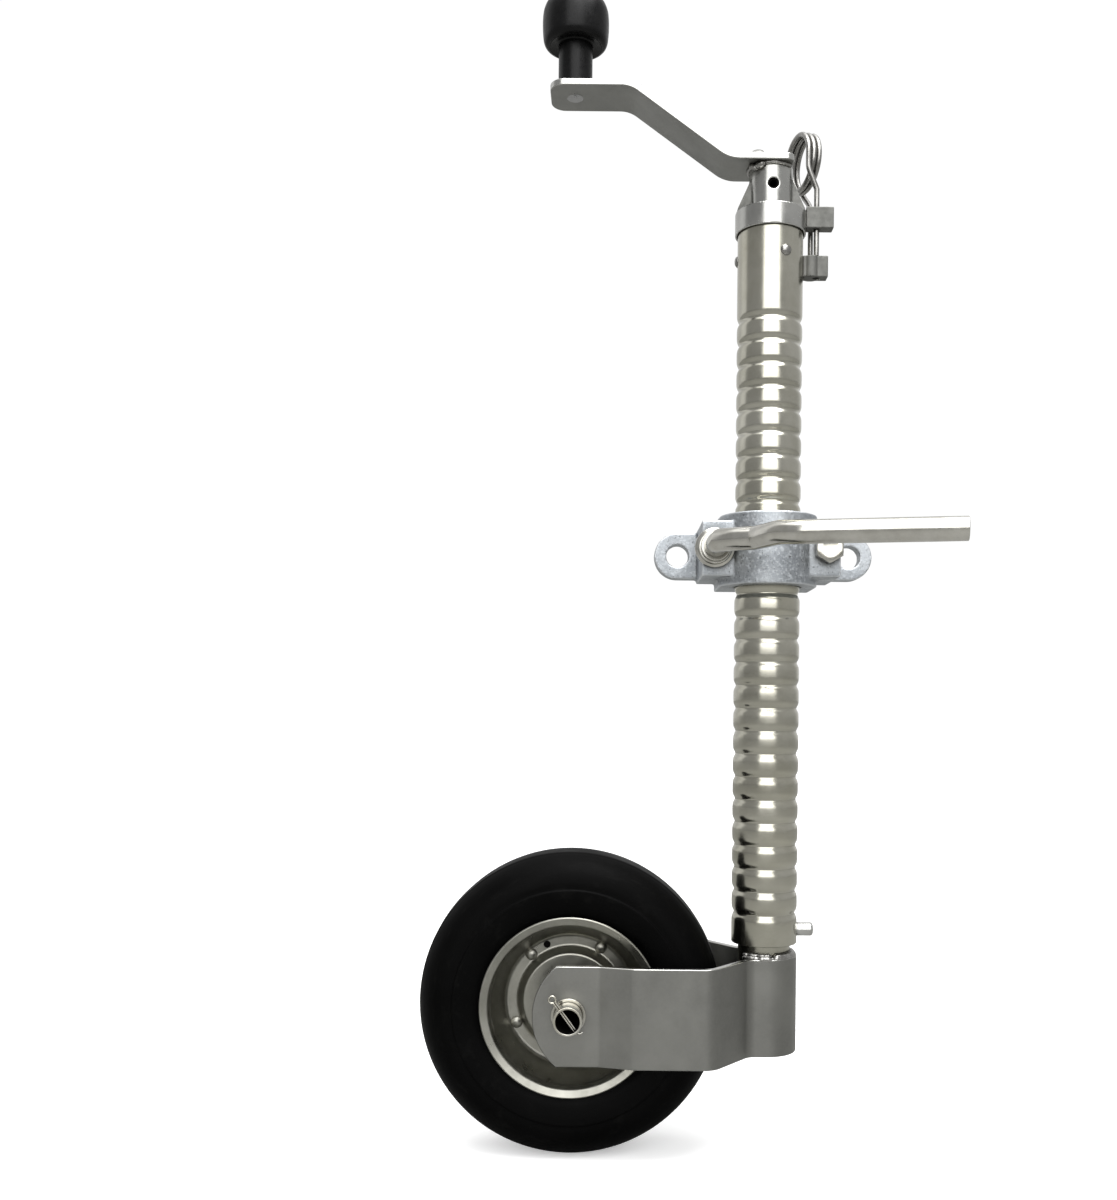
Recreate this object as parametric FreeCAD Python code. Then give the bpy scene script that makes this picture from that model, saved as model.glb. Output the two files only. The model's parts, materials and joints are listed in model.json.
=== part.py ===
import FreeCAD, Part
import math
import os

# Trailer jack wheel: a 48 mm ribbed jack tube held in a split clamp, wound up and down by a top
# crank on a lead screw, with a wheel in a bent strap fork that swivels with the inner tube.
#
# Working frame while modelling: the jack tube's axis is the Z axis and the ground is z = 0.
# X points from the wheel towards the tube, and the clamp's plate is on the +Y side.
# save() then moves every piece so that the origin is the centre of the two clamp bolt holes,
# on the plate's back face. Lengths are in millimetres and angles in degrees.

Vector = FreeCAD.Vector
X_AXIS = Vector(1, 0, 0)
Y_AXIS = Vector(0, 1, 0)
Z_AXIS = Vector(0, 0, 1)
ORIGIN = Vector(0, 0, 0)
FAR = 1000.0                  # longer than anything here, for cutters that run right through
OVERLAP = 1.0                 # how far a cutter or a fused piece runs past a face

# ---- fits ---------------------------------------------------------------------------------
RUNNING_GAP = 0.1             # radial clearance of every shaft in its hole
DRILLED_GAP = 0.5             # radial clearance of a bolt in its drilled ear

# ---- clamp --------------------------------------------------------------------------------
CLAMP_Z = 440.0               # middle of the clamp
PLATE_BACK = 38.0             # from the tube's axis to the plate's back face
PLATE_THICKNESS = 13.0
BOLT_HOLE_X = 65.0
BOLT_HOLE_RADIUS = 8.5
PLATE_END_RADIUS = 17.5
SADDLE_RADIUS = 36.0          # half width of the saddle and radius of the cap's dome
SADDLE_HALF_HEIGHT = 26.0
EAR_HALF_HEIGHT = 20.0
EAR_X = 50.0
EAR_TOP = 24.0                # cap ear's face, measured from the tube's axis
SPLIT_GAP = 2.0
SCREW_X = 41.0                # clamp screw on one side, hex bolt on the other
SCREW_HOLE_DEPTH = 32.0       # both tapped holes are measured from the tube's axis
HEX_BOLT_RADIUS = 6.0
HEX_HOLE_DEPTH = 30.0
HEX_BOLT_END = 28.0
HEX_HEAD_HEIGHT = 7.5
HEX_HEAD_RADIUS = 11.0        # to the head's corners
SCREW_SPOTFACE = 15.0
HEX_SPOTFACE = 12.0
WASHER_THICKNESS = 7.0
WASHER_FOOT_HEIGHT = 4.0
WASHER_FOOT_RADIUS = 14.4
WASHER_TOP_RADIUS = 12.0
HANDLE_RADIUS = 8.0
HANDLE_THREAD_END = 30.0
HANDLE_STEM = 68.0            # from the shoulder to the bend
HANDLE_ARM = 155.0
HANDLE_RISE = 12.0            # the arm leans away from the clamp by this angle
HANDLE_BEND = 24.0
SHOULDER_RADIUS = 10.5
SHOULDER_HEIGHT = 4.0

# ---- outer tube ---------------------------------------------------------------------------
TUBE_RADIUS = 24.0            # outside of the 48 mm jack tube
TUBE_WALL = 2.5
TUBE_BOTTOM = 153.0
TUBE_TOP = 677.5
GROOVE_COUNT = 27
GROOVE_PITCH = 16.67
GROOVE_FIRST = 175.2          # height of the lowest rolled groove
GROOVE_DEPTH = 1.7
GROOVE_HALF_WIDTH = 3.8
STUD_Z = 162.5
STUD_RADIUS = 5.0
STUD_ROOT = 22.0
STUD_TIP = 36.0
STUD_ROUNDING = 2.0
LOWER_LUG = (642.5, 658.0)    # bottom and top of the lug on the tube
LOWER_LUG_END = 42.0
LUG_HALF_DEPTH = 5.0
LUG_SLEEVE_X = 30.0
LUG_SLEEVE_RADIUS = 6.5
RIVET_Z = 655.5
RIVET_ANGLES = (-69, 51, 171)
RIVET_RADIUS = 2.6
RIVET_ROOT = 17.0
RIVET_DOME_RADIUS = 4.6
RIVET_DOME_SINK = 2.0         # how far inside the tube's face the dome's centre lies
BUSH_BOTTOM = 640.0
RACE_RADIUS = 20.0
RACE_THICKNESS = 2.0
BALL_RADIUS = 2.0
BALL_COUNT = 14
BALL_CIRCLE = 15.5
BALL_GAP = 0.05
UPPER_RACE_BOTTOM = TUBE_TOP + RACE_THICKNESS + 2 * BALL_RADIUS + 2 * BALL_GAP
UPPER_RACE_TOP = UPPER_RACE_BOTTOM + RACE_THICKNESS

# ---- crank --------------------------------------------------------------------------------
COLLAR_RADIUS = 26.0
COLLAR_BORE = TUBE_RADIUS + 0.4
COLLAR_BOTTOM = 673.5
COLLAR_TOP = 689.5
CRANK_HUB_RADIUS = 16.0
WEB_HALF_THICKNESS = 6.0
WEB_FOOT = 25.5               # half width of the webs on the collar
WEB_SHOULDER = (24.5, 692.5)  # half width and height where the webs start to slope in
WEB_TOP = (15.5, 712.5)
UPPER_LUG = (678.5, 694.0)    # bottom and top of the lug on the crank's collar
UPPER_LUG_END = 46.0
ARM_WIDTH = 40.0
ARM_THICKNESS = 5.0
ARM_LOW = 722.0               # underside of the arm over the hub
ARM_HIGH = 774.0              # underside of the arm under the knob
ARM_BEND = 22.0
ARM_SLOPE = 0.725             # rise over run of the arm's sloping part
ARM_SLOPE_START = -33.0
ARM_CORNER = 11.0             # rounding of the knob end, seen from above
ARM_HUB_END = 15.0            # the arm's squarer end beyond the tube's axis
ARM_HUB_CORNER = 6.0
ARM_OVERHANG = 18.0           # arm beyond the knob's axis
CRANK_RADIUS = 145.0
WELD_SIZE = 5.0
WELD_REACH = 0.8              # the fillet's width over its height
PIP_CENTRE = Vector(-11.0, -10.0, ARM_LOW + ARM_THICKNESS - 3.5)
PIP_RADIUS = 9.0
ROLL_PIN_Z = 706.5
ROLL_PIN_RADIUS = 4.0
ROLL_PIN_WALL = 1.3
ROLL_PIN_HALF_LENGTH = CRANK_HUB_RADIUS - 1.5
SCREW_RADIUS = 9.0
SCREW_BOTTOM = 262.0
SCREW_TOP = ARM_LOW - 1.0
SCREW_CHAMFER = 1.5
RETAINER_RADIUS = 14.0
RETAINER_HEIGHT = 6.0
RETAINER_GAP = 0.5            # between the retaining ring and the top bush

# ---- knob ---------------------------------------------------------------------------------
KNOB_PIN_RADIUS = 6.0
PIN_HEAD_RADIUS = 9.5
PIN_HEAD_BOTTOM = 838.0
PIN_HEAD_HEIGHT = 4.0
PIN_SHOULDER_RADIUS = 8.5
PIN_SHOULDER_HEIGHT = 1.0
KNOB_GAP = 0.3                # clearance of the knob above and below
NECK_RADIUS = 12.5
NECK_FLARE = 1.5
KNOB_RADIUS = 24.4
KNOB_BOTTOM = 811.5
KNOB_TOP = 849.0
KNOB_FLAT_RADIUS = 19.5       # flat underside of the knob
KNOB_WELL_RADIUS = 10.2       # opening over the pin's head
KNOB_RIM_RADIUS = 12.0

# ---- clip ---------------------------------------------------------------------------------
CLIP_WIRE_RADIUS = 2.0
CLIP_LEG_X = 34.0             # the straight leg's distance from the tube's axis
CLIP_BOTTOM = LOWER_LUG[1] + 0.8
CLIP_STRAIGHT_TOP = 708.6
CLIP_ANGLE = math.radians(108)    # direction across the clip's ring, seen from above
CLIP_RING_RADIUS = 20.0
CLIP_RING_Z = 735.0
CLIP_RING_OUTWARD = -7.0      # the coil starts this far from the leg's plane
CLIP_COIL_PITCH = 2 * CLIP_WIRE_RADIUS + 0.3
CLIP_SWEEP = math.radians(2 * 360 + 180 + 40)
CLIP_COIL_STEPS = 31
CLIP_NECK = ((0.0, 715.5, -3.2), (0.0, 723.5, -6.6))
CLIP_WAVE = ((29.0, 713.8, 4.5), (19.5, 705.0, 3.4), (12.8, 698.0, 1.4), (10.2, 690.0, 0.3),
             (9.6, 680.0, 0.0), (9.6, 670.0, 0.0), (10.2, 663.0, 0.3), (11.6, CLIP_BOTTOM + 1.0, 0.9))
UPPER_LUG_CLEARANCE = 0.3     # of the clip's leg in each lug
LOWER_LUG_CLEARANCE = 0.6

# ---- inner leg ----------------------------------------------------------------------------
INNER_RADIUS = 19.0           # outside of the sliding inner tube
INNER_WALL = 2.5
INNER_TOP = 500.0
NUT_LENGTH = 28.0
AXLE_X = -142.0               # wheel axle, measured from the tube's axis
AXLE_Z = 110.0
AXLE_RADIUS = 10.0
AXLE_WALL = 1.6
AXLE_HALF_LENGTH = 70.0
STRAP_THICKNESS = 5.0
STRAP_HEIGHT = 70.0
STRAP_BOTTOM = 74.0
STRAP_TOP = STRAP_BOTTOM + STRAP_HEIGHT
STRAP_OUTER_AXLE = 52.0       # outer face of the fork beside the axle
STRAP_OUTER_TYRE = 58.5       # outer face of the fork where it passes the tyre
STRAP_BEND = 9.0
STRAP_BEND_XS = (-14.0, -42.0, -96.5, -120.5)
STRAP_CORNER_X = AXLE_X - 8.5
STRAP_TIP_X = AXLE_X - 25.5
FORK_WELD_HEIGHT = 4.2         # of the bead that covers the strap's top edge round the tube
FORK_WELD_WIDTH = 4.8
SPACER_RADIUS = 15.0
SPACER_GAP = 0.3              # between a spacer and the turning hub
AXLE_WASHER_RADIUS = 12.2
AXLE_WASHER_THICKNESS = 1.8
PIN_OFFSET = 66.0             # split pins, from the middle of the axle
PIN_RADIUS = 1.5
PIN_WAY = Vector(-0.6, 0, 0.8)
PIN_BELOW = 12.5
PIN_ABOVE = 15.5
PIN_EYE_RADIUS = 2.6
PIN_LEG_RADIUS = 1.1
PIN_FOOT = Vector(3.5, 0, 0.5)

# ---- wheel --------------------------------------------------------------------------------
WHEEL_RADIUS = 110.0
TYRE_HALF_WIDTH = 32.5
TYRE_BORE = 59.0
BEAD_HALF_WIDTH = 28.0
RIM_RADIUS = 65.0             # edge of the rim's flange
RIM_SHEET = 1.8
RIM_RIVET_COUNT = 5
RIM_RIVET_CIRCLE = 43.5
RIM_RIVET_FIRST = 60.0        # direction of the first rivet from the axle
RIM_RIVET_HEAD_RADIUS = 4.4
RIM_RIVET_HEAD_HEIGHT = 2.2
VENT_ANGLE = 114.0
HUB_RADIUS = 16.0
HUB_BORE = 13.0
HUB_HALF_LENGTH = 44.0
HUB_BUSH_LENGTH = 20.0


# ---- helpers ------------------------------------------------------------------------------
def save(name, *solids):
    """Move the solids to the part's origin and write them as one node."""
    shape = solids[0] if len(solids) == 1 else Part.makeCompound(list(solids))
    shape = shape.copy()
    shape.translate(Vector(0, -PLATE_BACK, -CLAMP_Z))
    shape.exportStep("parts/" + name + ".step")


def block(x_range, y_range, z_range):
    """A box between two limits on each axis."""
    corner = Vector(x_range[0], y_range[0], z_range[0])
    length = x_range[1] - x_range[0]
    width = y_range[1] - y_range[0]
    height = z_range[1] - z_range[0]
    return Part.makeBox(length, width, height, corner)


def rod(radius, start, end):
    """A round bar between two points."""
    along = end - start
    return Part.makeCylinder(radius, along.Length, start, along)


def ring(outer, inner, start, end):
    """A tube or washer between two points."""
    return rod(outer, start, end).cut(rod(inner, start, end))


def upright(radius, bottom, top, x=0.0, y=0.0):
    """A round bar along Z."""
    return rod(radius, Vector(x, y, bottom), Vector(x, y, top))


def upright_ring(outer, inner, bottom, top):
    """A tube or washer round the tube's axis."""
    return upright(outer, bottom, top).cut(upright_drill(inner))


def upright_drill(radius, x=0.0):
    """A cutter along Z that runs right through."""
    return upright(radius, -FAR, FAR, x)


def level_drill(radius, x, z):
    """A cutter along Y that runs right through."""
    return rod(radius, Vector(x, -FAR, z), Vector(x, FAR, z))


def joined(solids):
    """Fuse pieces of one part into a single clean solid."""
    return solids[0].multiFuse(solids[1:]).removeSplitter()


def straight(start, end):
    return Part.LineSegment(start, end).toShape()


def turned(points, centre, axis):
    """Turn a closed outline of corner points about an axis. Three points in a tuple are an arc."""
    edges = []
    for index, item in enumerate(points):
        following = points[(index + 1) % len(points)]
        start = item[-1] if isinstance(item, tuple) else item
        end = following[0] if isinstance(following, tuple) else following
        if isinstance(item, tuple):
            edges.append(Part.Arc(*item).toShape())
        if not start.isEqual(end, 1e-6):
            edges.append(straight(start, end))
    face = Part.Face(Part.Wire(edges))
    return face.revolve(centre, axis, 360)


def rounded_path(points, radius):
    """A wire through the corner points, with each corner rounded to the bend radius."""
    edges = []
    start = points[0]
    for before, corner, after in zip(points, points[1:], points[2:]):
        to_before = (before - corner).normalize()
        to_after = (after - corner).normalize()
        half_angle = to_before.getAngle(to_after) / 2
        reach = radius / math.tan(half_angle)
        first = corner + to_before * reach
        last = corner + to_after * reach
        inward = (to_before + to_after).normalize()
        middle = corner + inward * (radius / math.sin(half_angle) - radius)
        edges.append(straight(start, first))
        edges.append(Part.Arc(first, middle, last).toShape())
        start = last
    edges.append(straight(start, points[-1]))
    return Part.Wire(edges)


def round_bar_along(wire, radius):
    """Sweep a round section along a wire."""
    first_edge = wire.Edges[0]
    start = first_edge.valueAt(first_edge.FirstParameter)
    along = first_edge.tangentAt(first_edge.FirstParameter)
    section = Part.Wire(Part.Circle(start, along, radius).toShape())
    return wire.makePipeShell([section], True, True)


def level_point(radius, degrees, height):
    """A point at this distance and direction from the tube's axis."""
    angle = math.radians(degrees)
    return Vector(radius * math.cos(angle), radius * math.sin(angle), height)


# ---- clamp --------------------------------------------------------------------------------
def around_clamp(half_height):
    """Bottom and top of a clamp feature."""
    return (CLAMP_Z - half_height, CLAMP_Z + half_height)


def clamp_plate():
    """Mounting plate with two rounded ears."""
    front = PLATE_BACK - PLATE_THICKNESS
    solids = [block((-BOLT_HOLE_X, BOLT_HOLE_X), (front, PLATE_BACK), around_clamp(PLATE_END_RADIUS))]
    for side in (-1, 1):
        end = Vector(side * BOLT_HOLE_X, front, CLAMP_Z)
        solids.append(rod(PLATE_END_RADIUS, end, end + Y_AXIS * PLATE_THICKNESS))
    return joined(solids)


def clamp_base():
    """Plate, saddle and two tapped ears, cast in one."""
    depth = (SPLIT_GAP / 2, PLATE_BACK)
    saddle = block((-SADDLE_RADIUS, SADDLE_RADIUS), depth, around_clamp(SADDLE_HALF_HEIGHT))
    ears = block((-EAR_X, EAR_X), depth, around_clamp(EAR_HALF_HEIGHT))
    base = joined([clamp_plate(), saddle, ears])
    base = base.cut(upright_drill(TUBE_RADIUS + RUNNING_GAP))
    for side in (-1, 1):
        base = base.cut(level_drill(BOLT_HOLE_RADIUS, side * BOLT_HOLE_X, CLAMP_Z))
    screw_hole = Vector(-SCREW_X, 0, CLAMP_Z)
    base = base.cut(rod(HANDLE_RADIUS + RUNNING_GAP, screw_hole, screw_hole + Y_AXIS * SCREW_HOLE_DEPTH))
    bolt_hole = Vector(SCREW_X, 0, CLAMP_Z)
    return base.cut(rod(HEX_BOLT_RADIUS, bolt_hole, bolt_hole + Y_AXIS * HEX_HOLE_DEPTH))


def clamp_cap():
    """Half-round cap with two drilled ears."""
    dome = upright(SADDLE_RADIUS, *around_clamp(SADDLE_HALF_HEIGHT))
    ears = block((-EAR_X, EAR_X), (-EAR_TOP, 0), around_clamp(EAR_HALF_HEIGHT))
    cap = joined([dome, ears])
    cap = cap.cut(block((-FAR, FAR), (-SPLIT_GAP / 2, FAR), (0, FAR)))
    cap = cap.cut(upright_drill(TUBE_RADIUS + RUNNING_GAP))
    holes = ((-SCREW_X, HANDLE_RADIUS, SCREW_SPOTFACE), (SCREW_X, HEX_BOLT_RADIUS, HEX_SPOTFACE))
    for x, radius, seat in holes:
        cap = cap.cut(level_drill(radius + DRILLED_GAP, x, CLAMP_Z))
        cap = cap.cut(rod(seat, Vector(x, -FAR, CLAMP_Z), Vector(x, -EAR_TOP, CLAMP_Z)))
    return cap


def clamp_hex_bolt():
    """Hex bolt that holds the cap's fixed side."""
    seat = Vector(SCREW_X, -EAR_TOP, CLAMP_Z)
    corners = []
    for index in range(7):
        angle = math.radians(60 * index + 30)
        corners.append(seat + Vector(HEX_HEAD_RADIUS * math.cos(angle), 0, HEX_HEAD_RADIUS * math.sin(angle)))
    head = Part.Face(Part.makePolygon(corners)).extrude(Y_AXIS * -HEX_HEAD_HEIGHT)
    shank = rod(HEX_BOLT_RADIUS, seat - Y_AXIS * OVERLAP, Vector(SCREW_X, HEX_BOLT_END, CLAMP_Z))
    return joined([head, shank])


def handle_washer():
    """Thick dished washer between the handle's shoulder and the cap."""
    seat = Vector(-SCREW_X, -EAR_TOP, CLAMP_Z)
    step = seat - Y_AXIS * WASHER_FOOT_HEIGHT
    bore = HANDLE_RADIUS + RUNNING_GAP
    foot = ring(WASHER_FOOT_RADIUS, bore, step, seat)
    top = ring(WASHER_TOP_RADIUS, bore, seat - Y_AXIS * WASHER_THICKNESS, step)
    return joined([foot, top])


def clamp_handle():
    """Bent round bar: threaded end in the clamp, a shoulder, a stem and a long arm."""
    shoulder = Vector(-SCREW_X, -EAR_TOP - WASHER_THICKNESS, CLAMP_Z)
    thread_end = Vector(-SCREW_X, HANDLE_THREAD_END, CLAMP_Z)
    bend = shoulder - Y_AXIS * HANDLE_STEM
    rise = math.radians(HANDLE_RISE)
    tip = bend + Vector(math.cos(rise), -math.sin(rise), 0) * HANDLE_ARM
    bar = round_bar_along(rounded_path([thread_end, bend, tip], HANDLE_BEND), HANDLE_RADIUS)
    collar = rod(SHOULDER_RADIUS, shoulder - Y_AXIS * SHOULDER_HEIGHT, shoulder)
    return joined([bar, collar])


# ---- outer tube ---------------------------------------------------------------------------
def wall_line(radius):
    """Corner points and groove arcs of one face of the tube's wall, from the bottom up."""
    items = [Vector(radius, 0, TUBE_BOTTOM)]
    for index in range(GROOVE_COUNT):
        height = GROOVE_FIRST + GROOVE_PITCH * index
        items.append((Vector(radius, 0, height - GROOVE_HALF_WIDTH),
                      Vector(radius - GROOVE_DEPTH, 0, height),
                      Vector(radius, 0, height + GROOVE_HALF_WIDTH)))
    items.append(Vector(radius, 0, TUBE_TOP))
    return items


def grooved_tube():
    """Jack tube with rolled grooves that stiffen it and guide the inner tube."""
    inside = []
    for item in reversed(wall_line(TUBE_RADIUS - TUBE_WALL)):
        inside.append(tuple(reversed(item)) if isinstance(item, tuple) else item)
    return turned(wall_line(TUBE_RADIUS) + inside, ORIGIN, Z_AXIS)


def outer_tube():
    """The grooved tube with its rivet holes and the hole that the stud sits in."""
    return with_rivet_holes(grooved_tube()).cut(stud_bar())


def tube_lug():
    """Drilled lug on the tube that the clip's leg drops into."""
    bottom, top = LOWER_LUG
    sleeve = upright(LUG_SLEEVE_RADIUS, bottom, top, LUG_SLEEVE_X)
    body = block((0, LOWER_LUG_END), (-LUG_HALF_DEPTH, LUG_HALF_DEPTH), (bottom, top))
    lug = joined([sleeve, body]).cut(upright_drill(TUBE_RADIUS))
    return lug.cut(upright_drill(CLIP_WIRE_RADIUS + LOWER_LUG_CLEARANCE, CLIP_LEG_X))


def stud_bar():
    return rod(STUD_RADIUS, Vector(STUD_ROOT, 0, STUD_Z), Vector(STUD_TIP, 0, STUD_Z))


def stop_stud():
    """Round-ended stud let into the tube's foot."""
    stud = stud_bar()
    tip_edges = [edge for edge in stud.Edges if edge.BoundBox.XMin > STUD_TIP - OVERLAP]
    return stud.makeFillet(STUD_ROUNDING, tip_edges)


def bush_rivets():
    """Round-headed rivets through the tube into the top bush."""
    rivets = []
    for angle in RIVET_ANGLES:
        root = level_point(RIVET_ROOT, angle, RIVET_Z)
        shank = rod(RIVET_RADIUS, root, level_point(TUBE_RADIUS + OVERLAP, angle, RIVET_Z))
        dome = Part.makeSphere(RIVET_DOME_RADIUS, level_point(TUBE_RADIUS - RIVET_DOME_SINK, angle, RIVET_Z))
        rivets.append(joined([shank, dome.cut(upright_drill(TUBE_RADIUS))]))
    return rivets


def with_rivet_holes(shape):
    for angle in RIVET_ANGLES:
        root = level_point(RIVET_ROOT, angle, RIVET_Z)
        shape = shape.cut(rod(RIVET_RADIUS, root, level_point(TUBE_RADIUS + OVERLAP, angle, RIVET_Z)))
    return shape


def top_bush():
    """Bush in the tube's head that the screw turns in."""
    bush = upright_ring(TUBE_RADIUS - TUBE_WALL, SCREW_RADIUS + RUNNING_GAP, BUSH_BOTTOM, TUBE_TOP)
    return with_rivet_holes(bush)


def lower_race():
    return upright_ring(RACE_RADIUS, SCREW_RADIUS + OVERLAP, TUBE_TOP, TUBE_TOP + RACE_THICKNESS)


def upper_race():
    return upright_ring(RACE_RADIUS, SCREW_RADIUS, UPPER_RACE_BOTTOM, UPPER_RACE_TOP)


def thrust_balls():
    height = TUBE_TOP + RACE_THICKNESS + BALL_RADIUS + BALL_GAP
    balls = []
    for index in range(BALL_COUNT):
        balls.append(Part.makeSphere(BALL_RADIUS, level_point(BALL_CIRCLE, 360 * index / BALL_COUNT, height)))
    return balls


# ---- crank --------------------------------------------------------------------------------
def collar_webs():
    """The two webs that spread from the hub to the collar's rim, as one plate through the hub."""
    foot = COLLAR_TOP - OVERLAP / 2
    outline = [Vector(-WEB_FOOT, 0, foot), Vector(WEB_FOOT, 0, foot)]
    for half_width, height in (WEB_SHOULDER, WEB_TOP):
        outline.append(Vector(half_width, 0, height))
    for half_width, height in (WEB_TOP, WEB_SHOULDER):
        outline.append(Vector(-half_width, 0, height))
    face = Part.Face(Part.makePolygon(outline + outline[:1]))
    face.translate(Y_AXIS * -WEB_HALF_THICKNESS)
    return face.extrude(Y_AXIS * 2 * WEB_HALF_THICKNESS)


def crank_collar():
    """Collar that caps the tube, with the hub and its two side webs, in one forging."""
    skirt = upright_ring(COLLAR_RADIUS, COLLAR_BORE, COLLAR_BOTTOM, COLLAR_TOP)
    top_plate = upright(COLLAR_RADIUS, UPPER_RACE_TOP, COLLAR_TOP)
    hub = upright(CRANK_HUB_RADIUS, COLLAR_TOP - OVERLAP, ARM_LOW)
    collar = joined([skirt, top_plate, hub, collar_webs()])
    collar = collar.cut(upright(SCREW_RADIUS, COLLAR_BOTTOM, SCREW_TOP))
    return collar.cut(level_drill(ROLL_PIN_RADIUS, 0, ROLL_PIN_Z))


def collar_lug():
    """Drilled lug on the collar's rim for the clip."""
    lug = block((0, UPPER_LUG_END), (-LUG_HALF_DEPTH, LUG_HALF_DEPTH), UPPER_LUG)
    lug = lug.cut(upright_drill(COLLAR_RADIUS))
    return lug.cut(upright_drill(CLIP_WIRE_RADIUS + UPPER_LUG_CLEARANCE, CLIP_LEG_X))


def arm_plan():
    """The arm seen from above, with rounded corners at both ends."""
    knob_end = -CRANK_RADIUS - ARM_OVERHANG
    half = ARM_WIDTH / 2
    tall = (0, FAR)
    knob_straight = knob_end + ARM_CORNER
    hub_straight = ARM_HUB_END - ARM_HUB_CORNER
    solids = [block((knob_straight, hub_straight), (-half, half), tall)]
    ends = ((knob_straight, knob_end, ARM_CORNER), (hub_straight, ARM_HUB_END, ARM_HUB_CORNER))
    for x, end, corner in ends:
        corner_y = half - corner
        solids.append(block((min(0, end), max(0, end)), (-corner_y, corner_y), tall))
        for side in (-1, 1):
            solids.append(upright(corner, *tall, x, side * corner_y))
    return joined(solids)


def crank_arm():
    """Flat bar bent twice, with both ends rounded."""
    slope_end = ARM_SLOPE_START - (ARM_HIGH - ARM_LOW) / ARM_SLOPE
    under_line = [Vector(ARM_WIDTH, 0, ARM_LOW), Vector(ARM_SLOPE_START, 0, ARM_LOW),
                  Vector(slope_end, 0, ARM_HIGH), Vector(-CRANK_RADIUS - ARM_WIDTH, 0, ARM_HIGH)]
    shift = ARM_THICKNESS * math.tan(math.atan(ARM_SLOPE) / 2)
    over_line = []
    for point, sideways in zip(under_line, (0, shift, shift, 0)):
        over_line.append(point + Vector(sideways, 0, ARM_THICKNESS))
    edges = rounded_path(under_line, ARM_BEND).Edges + rounded_path(over_line, ARM_BEND).Edges
    edges += [straight(under_line[0], over_line[0]), straight(under_line[-1], over_line[-1])]
    face = Part.Face(Part.Wire(Part.__sortEdges__(edges)))
    face.translate(Y_AXIS * (-ARM_WIDTH / 2))
    bar = face.extrude(Y_AXIS * ARM_WIDTH).common(arm_plan())
    return bar.cut(upright_drill(KNOB_PIN_RADIUS, -CRANK_RADIUS))


def crank_welds():
    """Fillet weld round the hub under the arm, and a pip of weld on the arm's top."""
    fillet = turned([Vector(CRANK_HUB_RADIUS, 0, ARM_LOW), Vector(CRANK_HUB_RADIUS, 0, ARM_LOW - WELD_SIZE),
                     Vector(CRANK_HUB_RADIUS + WELD_SIZE * WELD_REACH, 0, ARM_LOW)], ORIGIN, Z_AXIS)
    fillet = fillet.common(arm_plan())
    pip = Part.makeSphere(PIP_RADIUS, PIP_CENTRE)
    pip = pip.cut(block((-FAR, FAR), (-FAR, FAR), (0, ARM_LOW + ARM_THICKNESS)))
    return [fillet, pip]


def roll_pin():
    """Hollow spring pin through the hub and the screw."""
    start = Vector(0, -ROLL_PIN_HALF_LENGTH, ROLL_PIN_Z)
    end = Vector(0, ROLL_PIN_HALF_LENGTH, ROLL_PIN_Z)
    return ring(ROLL_PIN_RADIUS, ROLL_PIN_RADIUS - ROLL_PIN_WALL, start, end)


def lead_screw():
    """Screw at its thread's outside radius, drilled for the roll pin."""
    screw = upright(SCREW_RADIUS, SCREW_BOTTOM, SCREW_TOP)
    foot_edges = [edge for edge in screw.Edges if edge.BoundBox.ZMax < SCREW_BOTTOM + OVERLAP]
    screw = screw.makeChamfer(SCREW_CHAMFER, foot_edges)
    return screw.cut(level_drill(ROLL_PIN_RADIUS, 0, ROLL_PIN_Z))


def screw_retaining_ring():
    """Ring under the top bush that keeps the screw from lifting out."""
    top = BUSH_BOTTOM - RETAINER_GAP
    return upright_ring(RETAINER_RADIUS, SCREW_RADIUS, top - RETAINER_HEIGHT, top)


# ---- knob ---------------------------------------------------------------------------------
def knob_pin():
    """Shouldered rivet that the knob spins on."""
    arm_top = ARM_HIGH + ARM_THICKNESS
    shank = upright(KNOB_PIN_RADIUS, ARM_HIGH - OVERLAP, PIN_HEAD_BOTTOM + OVERLAP, -CRANK_RADIUS)
    head = upright(PIN_HEAD_RADIUS, PIN_HEAD_BOTTOM, PIN_HEAD_BOTTOM + PIN_HEAD_HEIGHT, -CRANK_RADIUS)
    shoulder = upright(PIN_SHOULDER_RADIUS, arm_top, arm_top + PIN_SHOULDER_HEIGHT, -CRANK_RADIUS)
    return joined([shank, head, shoulder])


def knob():
    """Plastic knob with its neck moulded on, bored for the pin and open for the pin's head on top."""
    def at(radius, height):
        return Vector(-CRANK_RADIUS + radius, 0, height)

    def up(radius, rise):
        return at(radius, KNOB_BOTTOM + rise)

    bottom = ARM_HIGH + ARM_THICKNESS + PIN_SHOULDER_HEIGHT + KNOB_GAP
    bore = KNOB_PIN_RADIUS + RUNNING_GAP
    seat = PIN_HEAD_BOTTOM - KNOB_GAP
    lower_edge = (up(20.0, 0), up(23.0, 1.9), up(24.0, 5.5))
    shoulder = (up(KNOB_RADIUS, 22), up(21.6, 31), up(15.5, 35))
    outline = [at(bore, bottom), at(NECK_RADIUS, bottom), up(NECK_RADIUS, NECK_FLARE),
               up(KNOB_FLAT_RADIUS, 0), lower_edge, up(KNOB_RADIUS, 13), shoulder,
               at(KNOB_RIM_RADIUS, KNOB_TOP), at(KNOB_WELL_RADIUS, KNOB_TOP), at(KNOB_WELL_RADIUS, seat),
               at(bore, seat)]
    return turned(outline, at(0, 0), Z_AXIS)


# ---- clip ---------------------------------------------------------------------------------
def clip_point(across, height, outward):
    """A point of the clip: across its ring, up, and square to its plane."""
    ring_way = Vector(math.cos(CLIP_ANGLE), math.sin(CLIP_ANGLE), 0)
    normal = Vector(math.sin(CLIP_ANGLE), -math.cos(CLIP_ANGLE), 0)
    return Vector(CLIP_LEG_X, 0, height) + ring_way * across + normal * outward


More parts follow.
